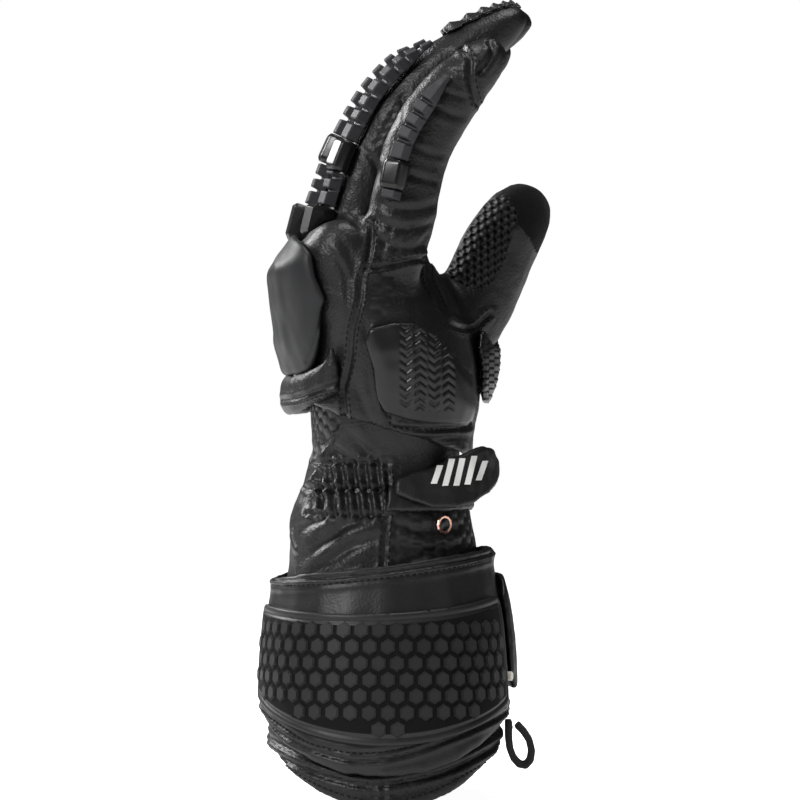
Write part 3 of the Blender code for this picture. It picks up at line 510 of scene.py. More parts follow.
def add_stitches(name, lines, material="thread"):
    """Stitches along lines of places in the frame."""
    sizes = bpy.context.scene.gauntlet_sizes
    curve = bpy.data.curves.new(name, "CURVE")
    curve.dimensions = "3D"
    for line in lines:
        if len(line) < 2:
            continue
        spline = curve.splines.new("POLY")
        spline.points.add(len(line) - 1)
        for point, place in zip(spline.points, line):
            point.co = (*place, 1.0)
    obj = bpy.data.objects.new(name, curve)
    bpy.context.scene.collection.objects.link(obj)
    group = bpy.data.node_groups.get("stitch_line") or stitch_group()
    step = obj.modifiers.new("stitches", "NODES")
    step.node_group = group
    values = {"Pitch": sizes.stitch_pitch, "Length": 0.72 * sizes.stitch_pitch,
              "Thickness": sizes.thread, "Material": MATERIALS[material]}
    for item in group.interface.items_tree:
        if item.in_out == "INPUT" and item.name in values:
            step[item.identifier] = values[item.name]
    plain = bpy.data.meshes.new_from_object(
        obj.evaluated_get(bpy.context.evaluated_depsgraph_get())
    )
    bpy.data.objects.remove(obj)
    return add_piece(name, plain, material)


def offset_line(line, distance):
    """The line moved sideways."""
    ways = np.gradient(line, axis=0)
    ways /= np.maximum(np.linalg.norm(ways, axis=1), 1e-9)[:, None]
    return line + np.column_stack((-ways[:, 1], ways[:, 0])) * distance


# The hand

SIDE_SEAM = [
    (373, 226), (372, 245), (369, 263), (363, 282), (361, 303), (354, 332), (351, 361), (345, 389),
    (347, 414), (348, 432), (355, 445), (371, 452), (382, 458), (392, 466),
]
CROSS_SEAM = [(369, 272), (388, 269), (404, 265), (418, 262), (430, 262)]
GUSSET_SEAM = [
    (427, 261), (428, 281), (434, 294), (443, 315), (452, 326), (465, 329), (477, 326), (484, 319),
    (491, 313),
]
FINGER_SEAM = [(461, 56), (466, 62), (469, 70), (469, 90), (475, 110)]
TIP_SEAM = [(488, 50), (491, 58), (487, 69), (478, 80)]
PAD_SEAM = [(378, 332), (376, 352), (381, 388), (389, 415), (398, 428), (464, 427), (470, 418), (469, 398)]
HAND_SEAMS = [SIDE_SEAM, CROSS_SEAM, GUSSET_SEAM, FINGER_SEAM, TIP_SEAM]
# Each fold: its line on the grid, half width and depth in tenths of a millimetre
HAND_FOLDS = [
    ([(378, 206), (396, 214), (420, 214), (438, 206)], 14, 9),
    ([(376, 222), (395, 232), (418, 232), (436, 224)], 12, 8),
    ([(374, 238), (392, 250), (412, 252), (430, 246)], 12, 7),
    ([(392, 262), (402, 244), (420, 226)], 9, 5),
    ([(381, 262), (388, 240), (398, 222)], 9, 5),
    ([(414, 262), (420, 248), (432, 232)], 9, 5),
    ([(400, 176), (420, 184), (440, 188)], 12, 6),
    ([(410, 152), (430, 160), (448, 162)], 10, 5),
    ([(430, 112), (450, 122), (468, 122)], 12, 6),
    ([(436, 96), (456, 104), (472, 104)], 9, 4),
    ([(446, 78), (458, 82), (466, 84)], 8, 4),
    ([(340, 240), (352, 262), (356, 290)], 16, 6),
    ([(330, 252), (346, 276), (350, 310)], 11, 5),
    ([(350, 210), (356, 226), (366, 236)], 12, 6),
    ([(366, 290), (392, 300), (428, 300)], 16, 5),
    ([(362, 318), (372, 350), (372, 400)], 18, 6),
    ([(356, 380), (366, 410), (380, 436)], 14, 6),
    ([(400, 432), (430, 438), (466, 434)], 12, 6),
    ([(398, 446), (430, 450), (462, 446)], 10, 5),
    ([(440, 290), (452, 310), (470, 318)], 14, 7),
    ([(362, 150), (376, 168), (380, 190)], 10, 6),
    ([(398, 96), (404, 110), (402, 130)], 10, 5),
]
RIB_LINES = [
    ([(372 + 5 * i, 148 - 9 * i), (384 + 5 * i, 141 - 9 * i)], 7, 6) for i in range(6)
]


PALM_EMBOSS = [
    (379, 268), (384, 262), (396, 262), (390, 312), (379, 330), (376, 352), (372, 352), (371, 300),
]
THUMB_PANEL = [
    (491, 195), (501, 193), (510, 197), (518, 209), (518, 220), (512, 240), (504, 264), (493, 283),
    (480, 289), (465, 285), (452, 276), (445, 266), (462, 240), (476, 216),
]


def inside_outline(mesh, outline, near=-1.0):
    """Which faces lie inside an outline on the grid, facing the little finger's side."""
    count = len(mesh.polygons)
    middle = np.empty(count * 3)
    mesh.polygons.foreach_get("center", middle)
    middle = middle.reshape(-1, 3)
    facing = np.empty(count * 3)
    mesh.polygons.foreach_get("normal", facing)
    x, z = middle[:, 0], middle[:, 2]
    inside = np.zeros(count, bool)
    corners = at(outline)
    for (x0, z0), (x1, z1) in zip(corners, np.roll(corners, -1, axis=0)):
        crosses = (z0 > z) != (z1 > z)
        inside ^= crosses & (x < (x1 - x0) * (z - z0) / (z1 - z0 + 1e-12) + x0)
    return inside & (facing.reshape(-1, 3)[:, 1] < 0.2) & (middle[:, 1] > near)


def paint(obj, slot, chosen):
    """Gives the chosen faces a second finish."""
    mesh = obj.data
    mesh.materials.append(MATERIALS[slot])
    index = np.zeros(len(mesh.polygons), int)
    mesh.polygons.foreach_get("material_index", index)
    index[chosen] = len(mesh.materials) - 1
    mesh.polygons.foreach_set("material_index", index)


FINGER_ROOT_FILLS = [((0.0084, -0.0372, 0.1966), 0.0036), ((0.0110, -0.0345, 0.1950), 0.0030)]
THUMB_TIP = [
    (505, 180), (560, 180), (560, 248), (539, 251), (529, 233), (518, 222), (519, 212), (511, 198),
    (500, 192),
]


def make_hand():
    sizes = bpy.context.scene.gauntlet_sizes
    names = [n for n in frame["nodes"] if n.startswith("finger_stall")]
    names += ["hand_shell", "thumb_stall", "hand_hem"]
    mesh = remeshed("leather_hand", names, sizes.detail, 90, FINGER_ROOT_FILLS)
    carver = Carver(mesh)
    for points in HAND_SEAMS + [PAD_SEAM]:
        carver.press(curve_line(points), 0.0009, 0.0010, far=0.02, puff=0.0005)
    for points, width, depth in HAND_FOLDS + RIB_LINES:
        carver.press(curve_line(points), width * 1e-4, depth * 1e-4, far=0.03, taper=True, puff=depth * 4e-5)
    carver.wrinkle(45.0, 0.0007)
    carver.wrinkle(150.0, 0.00016)
    carver.done()
    surface = tree_of(mesh)
    mesh = thin_inside(mesh, "leather_hand", 0.9)
    hand = add_piece("leather_hand", mesh, "leather", names + ["thumb_mesh_panel"])
    paint(hand, "suede", inside_outline(mesh, THUMB_TIP, 0.012))
    paint(hand, "stretch_mesh", inside_outline(mesh, THUMB_PANEL, 0.012))
    paint(hand, "embossed_leather", inside_outline(mesh, PALM_EMBOSS))
    lines = []
    for points in HAND_SEAMS:
        for side in (-1, 1):
            lines.append(on_surface(surface, offset_line(curve_line(points), side * 0.0019), 0.00005))
    lines.append(on_surface(surface, offset_line(curve_line(PAD_SEAM), 0.0002), 0.0001))
    add_stitches("hand_stitches", lines)


def make_soft(name, nodes, slot, voxel, passes, carve=None):
    """A soft CAD node made fine and smooth, with its own relief."""
    mesh = remeshed(name, nodes, voxel, passes)
    carver = Carver(mesh)
    if carve:
        carve(carver)
    carver.done()
    add_piece(name, mesh, slot, nodes)
    return tree_of(mesh)


PAD_RISE = 0.0022


def make_pads():
    def pad(carver):
        line = curve_line([(282, 400), (300, 398), (322, 391), (346, 384)])
        carver.press(line, 0.0008, 0.0008, puff=0.0004)
        carver.wrinkle(90.0, 0.0003)
        carver.raise_top(PAD_RISE)

    surface = make_soft("padded_wrist_flap", ["wrist_pad"], "leather", 0.0006, 60, pad)
    line = curve_line([(284, 405), (300, 403), (322, 396), (346, 389)])
    add_stitches("flap_stitches", [on_surface(surface, line, 0.0001)])
    for node in ("fingertip_ribs_ring", "fingertip_ribs_middle", "fingertip_ribs_index"):
        make_soft("soft_" + node, [node], "leather", 0.0004, 6)


# Wrist sleeve

GATHER_ROWS = [(462, 486, 316, 390), (488, 512, 308, 392)]
GATHER_PITCH = 11.5
SEAM_TO_STITCH = 0.0017
WRIST_FOLDS = [
    ([(306, 557), (330, 535), (348, 521), (385, 508)], 18, 12),
    ([(318, 566), (350, 545), (385, 532)], 16, 9),
    ([(300, 530), (318, 518), (340, 512)], 14, 8),
    ([(350, 430), (362, 445), (380, 462)], 14, 9),
    ([(322, 432), (334, 448), (356, 462)], 14, 8),
    ([(306, 440), (316, 455), (330, 466)], 12, 7),
    ([(392, 520), (425, 528), (462, 524)], 16, 10),
    ([(392, 540), (430, 548), (468, 540)], 14, 8),
    ([(396, 560), (425, 552), (455, 556)], 12, 7),
    ([(355, 488), (372, 492), (384, 490)], 9, 6),
    ([(325, 489), (340, 492), (354, 489)], 9, 6),
]
WRIST_SEAM = [(388, 470), (389, 500), (386, 530), (384, 566)]
HEM_SEAM = [(384, 764), (385, 792)]
HEM_ROLL = [(262, 736), (300, 751), (340, 763), (377, 768), (430, 759), (470, 745), (510, 727)]
PIPED_SEAM = [(342, 428), (325, 455), (320, 471), (306, 488), (297, 507), (292, 525), (297, 548)]


WRIST_EMBOSS = [(390, 500), (480, 495), (490, 570), (385, 570)]
BACK_EMBOSS = [(300, 398), (345, 396), (341, 432), (322, 462), (305, 470)]


def gathers(carver):
    """Rows of elastic gathers: puckers that lean to and fro between two lines."""
    across = (carver.across - ACROSS) / GRID
    up = (UP - carver.up) / GRID
    for top, bottom, left, right in GATHER_ROWS:
        level = (up - top) / (bottom - top)
        inside = np.exp(-np.clip(np.abs(level - 0.5) - 0.5, 0, None) ** 2 * 18)
        zigzag = np.abs((level * 0.5) % 1.0 - 0.5) * 6.0
        pucker = np.cos((across - left + zigzag) / GATHER_PITCH * 2 * math.pi)
        ends = np.clip(np.minimum(across - left, right - across) / 8, 0, 1)
        carver.swell(0.0010 * np.sign(pucker) * np.abs(pucker) ** 0.6 * inside * ends * carver.shown())
        for height in (top, bottom):
            line = at([(left, height), (right, height)])
            carver.press(line, 0.0007, 0.0011, puff=0.0004)


def make_sleeve():
    def carve(carver):
        gathers(carver)
        for points, width, depth in WRIST_FOLDS:
            carver.press(curve_line(points), width * 1e-4, depth * 1e-4, taper=True, puff=depth * 5e-5)
        carver.press(curve_line(WRIST_SEAM), 0.0008, 0.0010, puff=0.0004)
        carver.press(curve_line(HEM_SEAM), 0.0007, 0.0007, puff=0.0003)
        carver.press(curve_line(PIPED_SEAM), 0.0009, -0.0012)
        for side in (-1, 1):
            carver.press(offset_line(curve_line(HEM_ROLL), side * 0.0022), 0.0008, 0.0012, puff=0.0006)
        carver.wrinkle(60.0, 0.0006)

    nodes = ["wrist_sleeve", "hem_binding"]
    mesh = remeshed("gathered_sleeve", nodes, 0.00106, 45)
    carver = Carver(mesh)
    carve(carver)
    carver.done()
    surface = tree_of(mesh)
    mesh = thin_inside(mesh, "gathered_sleeve", 0.9)
    sleeve = add_piece("gathered_sleeve", mesh, "leather", nodes)
    for outline in (WRIST_EMBOSS, BACK_EMBOSS):
        paint(sleeve, "embossed_leather", inside_outline(mesh, outline))
    add_stitches("hem_stitches", [on_surface(surface, curve_line(HEM_STITCHES), 0.0001)])
    lines = []
    for side in (-1, 1):
        line = offset_line(curve_line(WRIST_SEAM), side * SEAM_TO_STITCH)
        lines.append(on_surface(surface, line, 0.0001))
    add_stitches("sleeve_stitches", lines)


# Cuff

CUFF_STITCHES = [
    [(274, 583), (330, 579), (385, 573), (440, 566), (490, 557)],
    [(262, 706), (288, 721), (314, 734), (361, 742), (409, 736), (440, 725), (470, 713), (508, 703)],
]
PIPING_EDGES = [
    [(274, 577), (330, 573), (385, 567), (440, 560), (490, 552)],
    [(260, 710), (293, 731), (335, 745), (367, 749), (409, 742), (451, 728), (511, 706)],
]
HEM_STITCHES = [(278, 748), (293, 761), (335, 780), (384, 789), (430, 780), (472, 761), (500, 747)]


def make_cuff():
    def carve(carver):
        for points in CUFF_STITCHES:
            carver.press(curve_line(points), 0.0007, 0.0005, puff=0.0003)
        for points in PIPING_EDGES:
            carver.press(curve_line(points), 0.0007, 0.0014, puff=0.0006)
        carver.wrinkle(40.0, 0.0005)

    nodes = ["cuff_wrap", "cuff_top_piping", "cuff_bottom_piping"]
    surface = make_soft("leather_wrap", nodes, "wrap_leather", 0.0009, 36, carve)
    lines = [on_surface(surface, curve_line(points), 0.0001) for points in CUFF_STITCHES]
    add_stitches("cuff_stitches", lines)
    make_armour(surface)
    make_soft("soft_cuff_flap", ["cuff_flap"], "wrap_leather", 0.0007, 30, lambda c: c.wrinkle(90.0, 0.0003))
    make_soft("soft_pull_loop", ["pull_loop"], "webbing", 0.0004, 14)


# Cuff armour

ARMOUR_FROM = -166.0
ARMOUR_TO = -25.0
STUD_ROW = 0.0060
ARMOUR_STEP = 0.0006
ARMOUR_TALL = 0.052
ANGLE_STEPS = 80
BORDER = 0.0050
RIM = 0.0008
LIP_IN = 0.0030
LIP_WIDTH = 0.0006
LIP_DEPTH = 0.0005
# How far in from the panel's edge the painted shade among the studs begins
PAINTED_SHADE_FROM = 0.0040
STUD_MARGIN = 0.0060
FIRST_ROW = 0.0306
STUD_ROWS = 12
STUD_SINK = 0.0003
STUD_SIDES = 6
STUD_DRAFT = 0.94
# Each layer of a stud: its width and height as shares of the whole
STUD_LAYERS = [(1.0, 0.62), (0.90, 0.80), (0.78, 1.0)]


def armour_span(angle):
    """Lowest and highest place of the armour at an angle round the cuff."""
    lean = math.cos(math.radians(angle))
    return 0.0243 + 0.0165 * lean * lean, 0.0730 + 0.0022 * lean + 0.0045 * lean * lean


class CuffForm:
    """The wrap's round under the armour, smoothed: a point and the way out at an angle and height."""

    TURNS = 64
    LEVELS = 24
    PASSES = 12
    OUTSIDE = 0.09

    def __init__(self, tree):
        self.angles = np.linspace(ARMOUR_FROM - 8, ARMOUR_TO + 8, self.TURNS)
        self.shares = np.linspace(-0.04, 1.04, self.LEVELS)
        self.reach = np.array([[self.measure(tree, a, k) for k in self.shares] for a in self.angles])
        for _ in range(self.PASSES):
            r = self.reach
            r[1:-1] = (r[:-2] + 2 * r[1:-1] + r[2:]) / 4
            r[:, 1:-1] = (r[:, :-2] + 6 * r[:, 1:-1] + r[:, 2:]) / 8

    def measure(self, tree, angle, share):
        low, high = armour_span(angle)
        way = Vector((math.cos(math.radians(angle)), math.sin(math.radians(angle)), 0.0))
        hit = tree.ray_cast(Vector((0, 0, low + (high - low) * share)) + way * self.OUTSIDE, -way)[0]
        return math.hypot(hit.x, hit.y)

    def spot(self, angle, share):
        across = np.array([np.interp(share, self.shares, row) for row in self.near(angle)])
        radius = across[0] + (across[1] - across[0]) * self.part(angle)
        low, high = armour_span(angle)
        turn = math.radians(angle)
        return Vector((radius * math.cos(turn), radius * math.sin(turn), low + (high - low) * share))

    def place_of(self, angle):
        step = self.angles[1] - self.angles[0]
        return min(max((angle - self.angles[0]) / step, 0.0), self.TURNS - 1.001)

    def near(self, angle):
        first = int(self.place_of(angle))
        return self.reach[first], self.reach[first + 1]

    def part(self, angle):
        return self.place_of(angle) % 1.0

    def at(self, angle, up):
        low, high = armour_span(angle)
        share = (up - low) / (high - low)
        middle = self.spot(angle, share)
        round_it = self.spot(angle + 3, share) - self.spot(angle - 3, share)
        rise = self.spot(angle, share + 0.03) - self.spot(angle, share - 0.03)
        return middle, round_it.cross(rise).normalized()


def stud_group(sizes):
    """Geometry nodes that stand a six-sided stud on each point, one corner up."""
    tree = bpy.data.node_groups.new("studs", "GeometryNodeTree")
    face = tree.interface
    face.new_socket("Geometry", in_out="INPUT", socket_type="NodeSocketGeometry")
    for name in ("Radius", "Height"):
        face.new_socket(name, in_out="INPUT", socket_type="NodeSocketFloat")
    face.new_socket("Material", in_out="INPUT", socket_type="NodeSocketMaterial")
    face.new_socket("Geometry", in_out="OUTPUT", socket_type="NodeSocketGeometry")
    new = tree.nodes.new
    link = tree.links.new
    source = new("NodeGroupInput")
    out = new("GeometryNodeInputNamedAttribute")
    out.data_type = "FLOAT_VECTOR"
    out.inputs["Name"].default_value = "out"
    stand = new("FunctionNodeAlignRotationToVector")
    stand.axis = "Z"
    upright = new("FunctionNodeAlignRotationToVector")
    upright.axis = "X"
    upright.pivot_axis = "Z"
    upright.inputs["Vector"].default_value = (0, 0, 1)
    copies = new("GeometryNodeInstanceOnPoints")
    real = new("GeometryNodeRealizeInstances")
    paint_node = new("GeometryNodeSetMaterial")
    result = new("NodeGroupOutput")
    layers = new("GeometryNodeJoinGeometry")
    for wide, high in STUD_LAYERS:
        cone = new("GeometryNodeMeshCone")
        cone.inputs["Vertices"].default_value = STUD_SIDES
        top = new("ShaderNodeMath")
        top.operation = "MULTIPLY"
        top.inputs[1].default_value = wide * STUD_DRAFT
        base = new("ShaderNodeMath")
        base.operation = "MULTIPLY"
        base.inputs[1].default_value = wide
        depth = new("ShaderNodeMath")
        depth.operation = "MULTIPLY"
        depth.inputs[1].default_value = high
        link(source.outputs["Radius"], top.inputs[0])
        link(source.outputs["Radius"], base.inputs[0])
        link(source.outputs["Height"], depth.inputs[0])
        link(top.outputs[0], cone.inputs["Radius Top"])
        link(base.outputs[0], cone.inputs["Radius Bottom"])
        link(depth.outputs[0], cone.inputs["Depth"])
        link(cone.outputs["Mesh"], layers.inputs[0])
    link(out.outputs["Attribute"], stand.inputs["Vector"])
    link(stand.outputs["Rotation"], upright.inputs["Rotation"])
    link(source.outputs["Geometry"], copies.inputs["Points"])
    link(layers.outputs["Geometry"], copies.inputs["Instance"])
    link(upright.outputs["Rotation"], copies.inputs["Rotation"])
    link(copies.outputs["Instances"], real.inputs["Geometry"])
    link(real.outputs["Geometry"], paint_node.inputs["Geometry"])
    link(source.outputs["Material"], paint_node.inputs["Material"])
    link(paint_node.outputs["Geometry"], result.inputs["Geometry"])
    return tree


def make_armour(tree):
    """The moulded panel laid on the wrap, with rows of studs; the panel among the studs gets painted shade,
    a near-black finish for the gaps between them.
    """
    sizes = bpy.context.scene.gauntlet_sizes
    form = CuffForm(tree)
    angles = np.linspace(ARMOUR_FROM, ARMOUR_TO, ANGLE_STEPS)
    places = [form.spot(a, 0.5) for a in angles]
    lengths = np.append(0, np.cumsum([(b - a).length for a, b in zip(places, places[1:])]))
    columns = int(lengths[-1] / ARMOUR_STEP)
    rows = int(ARMOUR_TALL / ARMOUR_STEP)
    shape = bmesh.new()
    grid, depths = [], []
    for i in range(columns + 1):
        along = lengths[-1] * i / columns
        angle = np.interp(along, lengths, angles)
        low, high = armour_span(angle)
        side = min(along, lengths[-1] - along)
        column, depth = [], []
        for j in range(rows + 1):
            up = low + (high - low) * j / rows
            near = min(up - low, high - up)
            corner = BORDER - math.hypot(max(BORDER - side, 0), max(BORDER - near, 0))
            edge = min(side, near, corner) if side < BORDER and near < BORDER else min(side, near)
            rim = min(max(edge / RIM, 0.0), 1.0)
            lip = math.exp(-(((edge - LIP_IN) / LIP_WIDTH) ** 2))
            lift = sizes.armour_lift * math.sqrt(rim * (2 - rim)) - LIP_DEPTH * lip
            place, way = form.at(angle, up)
            column.append(None if edge < 0 else shape.verts.new(place + way * lift))
            depth.append(edge)
        grid.append(column)
        depths.append(depth)
    painted_shade_faces = []
    for i, (first, second) in enumerate(zip(grid, grid[1:])):
        for j in range(rows):
            corners = (first[j], second[j], second[j + 1], first[j + 1])
            if all(corners):
                shape.faces.new(corners)
                painted_shade_faces.append(all(depths[i + a][j + b] > PAINTED_SHADE_FROM for a in (0, 1) for b in (0, 1)))
    mesh = bpy.data.meshes.new("armour_panel")
    shape.to_mesh(mesh)
    shape.free()
    panel = add_piece("armour_panel", mesh, "armour_rubber", ["cuff_armour"])
    # Painted shade: the panel's faces among the studs take the near-black finish, darkening the gaps between
    # the studs.
    paint(panel, "armour_painted_shade", np.array(painted_shade_faces))
    points, ways = [], []
    for row in range(STUD_ROWS):
        up = FIRST_ROW + (row - 1) * STUD_ROW
        along = BORDER + sizes.stud_pitch * (0.5 if row % 2 else 0.0) + 0.0015
        while along < lengths[-1] - BORDER - 0.0015:
            angle = np.interp(along, lengths, angles)
            low, high = armour_span(angle)
            if low + STUD_MARGIN < up < high - STUD_MARGIN:
                place, way = form.at(angle, up)
                points.append(place + way * (sizes.armour_lift - STUD_SINK))
                ways.append(way)
            along += sizes.stud_pitch
    dots = bpy.data.meshes.new("stud_points")
    dots.from_pydata([tuple(p) for p in points], [], [])
    layer = dots.attributes.new("out", "FLOAT_VECTOR", "POINT")
    layer.data.foreach_set("vector", np.array(ways).ravel())
    obj = bpy.data.objects.new("armour_studs", dots)
    bpy.context.scene.collection.objects.link(obj)
    group = stud_group(sizes)
    step = obj.modifiers.new("studs", "NODES")
    step.node_group = group
    values = {
        "Radius": sizes.stud_radius, "Height": sizes.stud_height,
        "Material": MATERIALS["armour_rubber"],
    }
    for item in group.interface.items_tree:
        if item.in_out == "INPUT" and item.name in values:
            step[item.identifier] = values[item.name]
    plain = bpy.data.meshes.new_from_object(obj.evaluated_get(bpy.context.evaluated_depsgraph_get()))
    bpy.data.objects.remove(obj)
    studs = add_piece("armour_studs", plain, "armour_rubber")
    plain.shade_flat()
    studs.modifiers.new("join", "WELD").merge_threshold = 0.00001


# Closure at the wrist

BAR_PLACES = (434, 445, 456, 467, 478)
BAR_RISE = {434: (482, 462), 445: (484, 458), 456: (484, 454), 467: (483, 455), 478: (479, 460)}


def make_closure():
    surface = make_soft("soft_wrist_tab", ["wrist_tab"], "wrap_leather", 0.0005, 24,
                        lambda c: c.wrinkle(110.0, 0.0004))
    make_soft(
        "soft_wrist_strap", ["wrist_strap"], "wrap_leather", 0.0006, 30,
        lambda c: c.wrinkle(120.0, 0.0004),
    )
    shape = bmesh.new()
    for place in BAR_PLACES:
        low, high = BAR_RISE[place]
        rows = []
        for share in np.linspace(0, 1, 10):
            across = place - 4 + 7 * share
            up = low + (high - low) * share
            hits = [on_surface(surface, at([(across + side, up)]), 0.00015) for side in (0, 2, 4, 6)]
            if all(hits):
                rows.append([shape.verts.new(hit[0]) for hit in hits])
        for first, second in zip(rows, rows[1:]):
            for k in range(3):
                shape.faces.new((first[k], first[k + 1], second[k + 1], second[k]))
    mesh = bpy.data.meshes.new("tab_bars")
    shape.to_mesh(mesh)
    shape.free()
    add_piece("tab_bars", mesh, "bars")


# Moulded parts


def make_moulded():
    """Repaints the CAD parts that stay, and rounds their edges."""
    slots = {row["node"]: row["material_slot"] for row in frame["record"]["subparts"]}
    for node, obj in frame["nodes"].items():
        obj.data.materials.clear()
        obj.data.materials.append(MATERIALS[slots[node]])
    for node, obj in frame["nodes"].items():
        if "link" in node or "cap_" in node:
            obj.data.shade_smooth()
            obj.modifiers.new("join", "WELD").merge_threshold = 0.00001
            step = obj.modifiers.new("edges", "BEVEL")
            step.width = 0.0010
            step.segments = 3
            step.limit_method = "ANGLE"
            step.angle_limit = math.radians(28)
            obj.modifiers.new("shade", "WEIGHTED_NORMAL")
    for node in frame["nodes"]:
        if "_guard_" in node:
            make_soft("fine_" + node, [node], "guard_rubber", 0.00032, 7)
    make_soft("fine_outer_shell", ["outer_knuckle_shell"], "shell_rubber", 0.00055, 70, shell_form)
    make_soft("fine_main_shell", ["main_knuckle_shell"], "shell_rubber", 0.00055, 70)
    make_soft("fine_heel_slider", ["heel_slider"], "slider_rubber", 0.00045, 60, chevrons)
    make_soft("fine_thumb_slider", ["thumb_side_slider"], "slider_rubber", 0.00045, 40, scales)


SHELL_RIDGE = [(282, 243), (279, 266), (282, 303), (286, 339), (289, 372)]
SHELL_EDGE = [(300, 238), (330, 258), (334, 282), (330, 303), (320, 332), (313, 353), (308, 362)]
# Each column of the tread: its middle and half width on the grid, and which way it points
TREAD = [(406, 6.5, 1), (420, 6.5, -1), (434, 6.5, 1), (448, 6.5, -1)]
TREAD_PITCH = 8.2


def shell_form(carver):
    carver.press(curve_line(SHELL_RIDGE), 0.0016, -0.0007)
    carver.press(curve_line(SHELL_EDGE), 0.0007, 0.0004)


def chevrons(carver):
    """Arrow-shaped grooves in columns down the heel slider."""
    across = (carver.across - ACROSS) / GRID
    up = (UP - carver.up) / GRID
    shown = carver.shown()
    edge = np.clip((412 - up) / 4, 0, 1) * np.clip((up - 326) / 5, 0, 1)
    for middle, half, way in TREAD:
        off = across - middle
        inside = np.clip((half - np.abs(off)) / 1.5, 0, 1)
        phase = ((up + way * np.abs(off) * 0.8) / TREAD_PITCH) % 1.0
        groove = np.exp(-(((phase - 0.5) / 0.2) ** 2))
        carver.swell(-0.0007 * groove * inside * edge * shown)


def scales(carver):
    """Overlapping scales on the slider beside the thumb."""
    phase = (carver.up / 0.0026 + 0.5 * np.floor(carver.across / 0.0022)) % 1.0
    carver.swell(0.0004 * phase)


# Stage


FLOOR_HALF = 6.0
FLOOR_SEEN = 0.96
# Each lamp: its name, place, width and power
LAMPS = [
    ("key", (-1.1, -1.3, 1.2), 0.45, 25.0),
    ("fill", (1.4, -1.2, 0.5), 0.6, 1.2),
    ("rim", (-1.2, 0.9, 1.0), 0.6, 24.0),
    ("top", (0.1, -0.1, 1.6), 0.6, 13.0),
]


def make_stage():
    sizes = bpy.context.scene.gauntlet_sizes
    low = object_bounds()[0][2]
    wide = FLOOR_HALF
    floor = bpy.data.meshes.new("floor")
    corners = [(-wide, -wide, low), (wide, -wide, low), (wide, wide, low), (-wide, wide, low)]
    floor.from_pydata(corners, [], [(0, 1, 2, 3)])
    ground = bpy.data.objects.new("floor", floor)
    bpy.context.scene.collection.objects.link(ground)
    pale = Shader("pale_floor", (0.9, 0.9, 0.9), 0.9, specular=0.0)
    pale.put("Emission Color", (1.0, 1.0, 1.0, 1.0))
    sight = pale.node("ShaderNodeLightPath")
    glow = pale.node("ShaderNodeMapRange")
    glow.inputs["To Min"].default_value = sizes.floor_glow
    glow.inputs["To Max"].default_value = FLOOR_SEEN
    pale.tree.links.new(sight.outputs["Is Camera Ray"], glow.inputs["Value"])
    pale.tree.links.new(glow.outputs["Result"], pale.shader.inputs["Emission Strength"])
    floor.materials.append(pale.material)
    ground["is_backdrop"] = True
    world = bpy.data.worlds.new("studio")
    world.use_nodes = True
    tree = world.node_tree
    tree.nodes["Background"].inputs["Color"].default_value = (1, 1, 1, 1)
    tree.nodes["Background"].inputs["Strength"].default_value = sizes.daylight
    seen = tree.nodes.new("ShaderNodeBackground")
    seen.inputs["Color"].default_value = (1, 1, 1, 1)
    seen.inputs["Strength"].default_value = 1.0
    mix = tree.nodes.new("ShaderNodeMixShader")
    path = tree.nodes.new("ShaderNodeLightPath")
    tree.links.new(path.outputs["Is Camera Ray"], mix.inputs[0])
    tree.links.new(tree.nodes["Background"].outputs[0], mix.inputs[1])
    tree.links.new(seen.outputs[0], mix.inputs[2])
    tree.links.new(mix.outputs[0], tree.nodes["World Output"].inputs["Surface"])
    bpy.context.scene.world = world
    for name, place, width, power in LAMPS:
        light = bpy.data.lights.new(name, "AREA")
        light.size = width
        light.energy = power
        lamp = bpy.data.objects.new(name, light)
        lamp.location = place
        way = MIDDLE - Vector(place)
        lamp.rotation_euler = way.to_track_quat("-Z", "Y").to_euler()
        bpy.context.scene.collection.objects.link(lamp)
    camera = bpy.data.cameras.new("camera")
    camera.sensor_width = 36.0
    camera.lens = camera.sensor_width * VIEW_DISTANCE / VIEW_WIDTH
    camera.clip_end = 50.0
    eye = bpy.data.objects.new("camera", camera)
    eye.location = MIDDLE + Vector((0, -VIEW_DISTANCE, 0))
    eye.rotation_euler = (math.radians(90), 0, 0)
    bpy.context.scene.collection.objects.link(eye)
    bpy.context.scene.camera = eye
    bpy.context.scene.view_settings.view_transform = "Standard"


# The add-on


class GauntletSizes(bpy.types.PropertyGroup):
    detail: FloatProperty(
        name="Leather detail", description="Distance between the leather's points",
        default=0.00095, min=0.0006, unit="LENGTH",
    )
    stitch_pitch: FloatProperty(
        name="Stitch pitch", description="Distance from one stitch to the next",
        default=0.0024, unit="LENGTH",
    )
    thread: FloatProperty(
        name="Thread", description="Thickness of the sewing thread", default=0.0006, unit="LENGTH",
    )
    armour_lift: FloatProperty(
        name="Armour", description="Height of the armour over the wrap", default=0.0020, unit="LENGTH",
    )
    stud_pitch: FloatProperty(
        name="Stud pitch", description="Distance from one stud to the next in a row", default=0.0066,
        unit="LENGTH",
    )
    stud_radius: FloatProperty(
        name="Stud radius", description="A stud's middle to its corner", default=0.0032, unit="LENGTH",
    )
    stud_height: FloatProperty(
        name="Stud height", description="Height of a stud", default=0.0011, unit="LENGTH",
    )
    daylight: FloatProperty(
        name="Daylight", description="Strength of the white surroundings", default=0.045, min=0.0,
    )
    floor_glow: FloatProperty(
        name="Floor glow", description="Light that the pale floor gives off", default=0.30, min=0.0,
    )


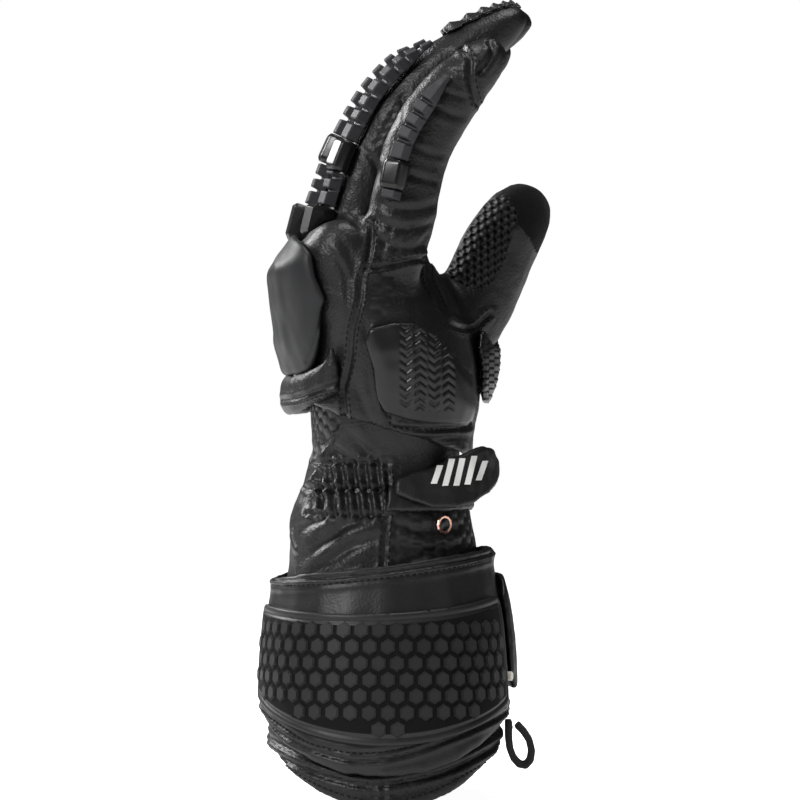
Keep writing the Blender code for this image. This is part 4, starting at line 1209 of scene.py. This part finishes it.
class GauntletColours(bpy.types.PropertyGroup):
    leather: FloatVectorProperty(
        name="Leather", description="Colour of the leather", default=(0.0075, 0.0075, 0.0078),
        subtype="COLOR",
    )
    shell: FloatVectorProperty(
        name="Shell", description="Colour of the knuckle shells", default=(0.0115, 0.0118, 0.013),
        subtype="COLOR",
    )
    armour: FloatVectorProperty(
        name="Armour", description="Colour of the cuff armour", default=(0.0125, 0.0125, 0.0125),
        subtype="COLOR",
    )
    slider: FloatVectorProperty(
        name="Slider", description="Colour of the palm sliders", default=(0.009, 0.009, 0.0095),
        subtype="COLOR",
    )
    guard: FloatVectorProperty(
        name="Guard", description="Colour of the finger guards", default=(0.026, 0.025, 0.029),
        subtype="COLOR",
    )
    metal: FloatVectorProperty(
        name="Metal", description="Colour of the small ring", default=(0.72, 0.42, 0.33), subtype="COLOR",
    )


class GAUNTLET_OT_hand(bpy.types.Operator):
    """Leather hand, fingers and thumb with their seams and folds"""

    bl_idname = "gauntlet.hand"
    bl_label = "Leather hand"

    def execute(self, context):
        make_hand()
        return {"FINISHED"}


class GAUNTLET_OT_pads(bpy.types.Operator):
    """Padded flap over the wrist and ribbed fingertip panels"""

    bl_idname = "gauntlet.pads"
    bl_label = "Pads and ribs"

    def execute(self, context):
        make_pads()
        return {"FINISHED"}


class GAUNTLET_OT_sleeve(bpy.types.Operator):
    """Gathered wrist sleeve"""

    bl_idname = "gauntlet.sleeve"
    bl_label = "Wrist sleeve"

    def execute(self, context):
        make_sleeve()
        return {"FINISHED"}


class GAUNTLET_OT_cuff(bpy.types.Operator):
    """Cuff wrap, pipings, closure flap and pull loop"""

    bl_idname = "gauntlet.cuff"
    bl_label = "Cuff"

    def execute(self, context):
        make_cuff()
        return {"FINISHED"}


class GAUNTLET_OT_closure(bpy.types.Operator):
    """Wrist tab with its reflective bars, and the strap under it"""

    bl_idname = "gauntlet.closure"
    bl_label = "Wrist closure"

    def execute(self, context):
        make_closure()
        return {"FINISHED"}


class GAUNTLET_OT_moulded(bpy.types.Operator):
    """Shells, sliders, finger guards and cuff armour"""

    bl_idname = "gauntlet.moulded"
    bl_label = "Moulded parts"

    def execute(self, context):
        make_moulded()
        return {"FINISHED"}


class GAUNTLET_OT_stage(bpy.types.Operator):
    """Floor, studio lights and camera"""

    bl_idname = "gauntlet.stage"
    bl_label = "Stage"

    def execute(self, context):
        make_stage()
        return {"FINISHED"}


STEPS = (
    GAUNTLET_OT_moulded, GAUNTLET_OT_hand, GAUNTLET_OT_pads, GAUNTLET_OT_sleeve, GAUNTLET_OT_cuff,
    GAUNTLET_OT_closure, GAUNTLET_OT_stage,
)


class GAUNTLET_PT_panel(bpy.types.Panel):
    """The gauntlet's sizes, colours and steps"""

    bl_idname = "GAUNTLET_PT_panel"
    bl_label = "Gauntlet"
    bl_space_type = "VIEW_3D"
    bl_region_type = "UI"
    bl_category = "Gauntlet"

    def draw(self, context):
        for group in (context.scene.gauntlet_sizes, context.scene.gauntlet_colours):
            for name in group.bl_rna.properties.keys():
                if name not in {"rna_type", "name"}:
                    self.layout.prop(group, name)
        for step in STEPS:
            self.layout.operator(step.bl_idname)


CLASSES = (GauntletSizes, GauntletColours, *STEPS, GAUNTLET_PT_panel)


def register():
    for item in CLASSES:
        bpy.utils.register_class(item)
    bpy.types.Scene.gauntlet_sizes = PointerProperty(type=GauntletSizes)
    bpy.types.Scene.gauntlet_colours = PointerProperty(type=GauntletColours)


def unregister():
    del bpy.types.Scene.gauntlet_colours
    del bpy.types.Scene.gauntlet_sizes
    for item in reversed(CLASSES):
        bpy.utils.unregister_class(item)


def main():
    register()
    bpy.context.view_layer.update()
    MATERIALS.update(make_materials())
    for step in STEPS:
        family, name = step.bl_idname.split(".")
        getattr(getattr(bpy.ops, family), name)()


if __name__ == "__main__":
    main()
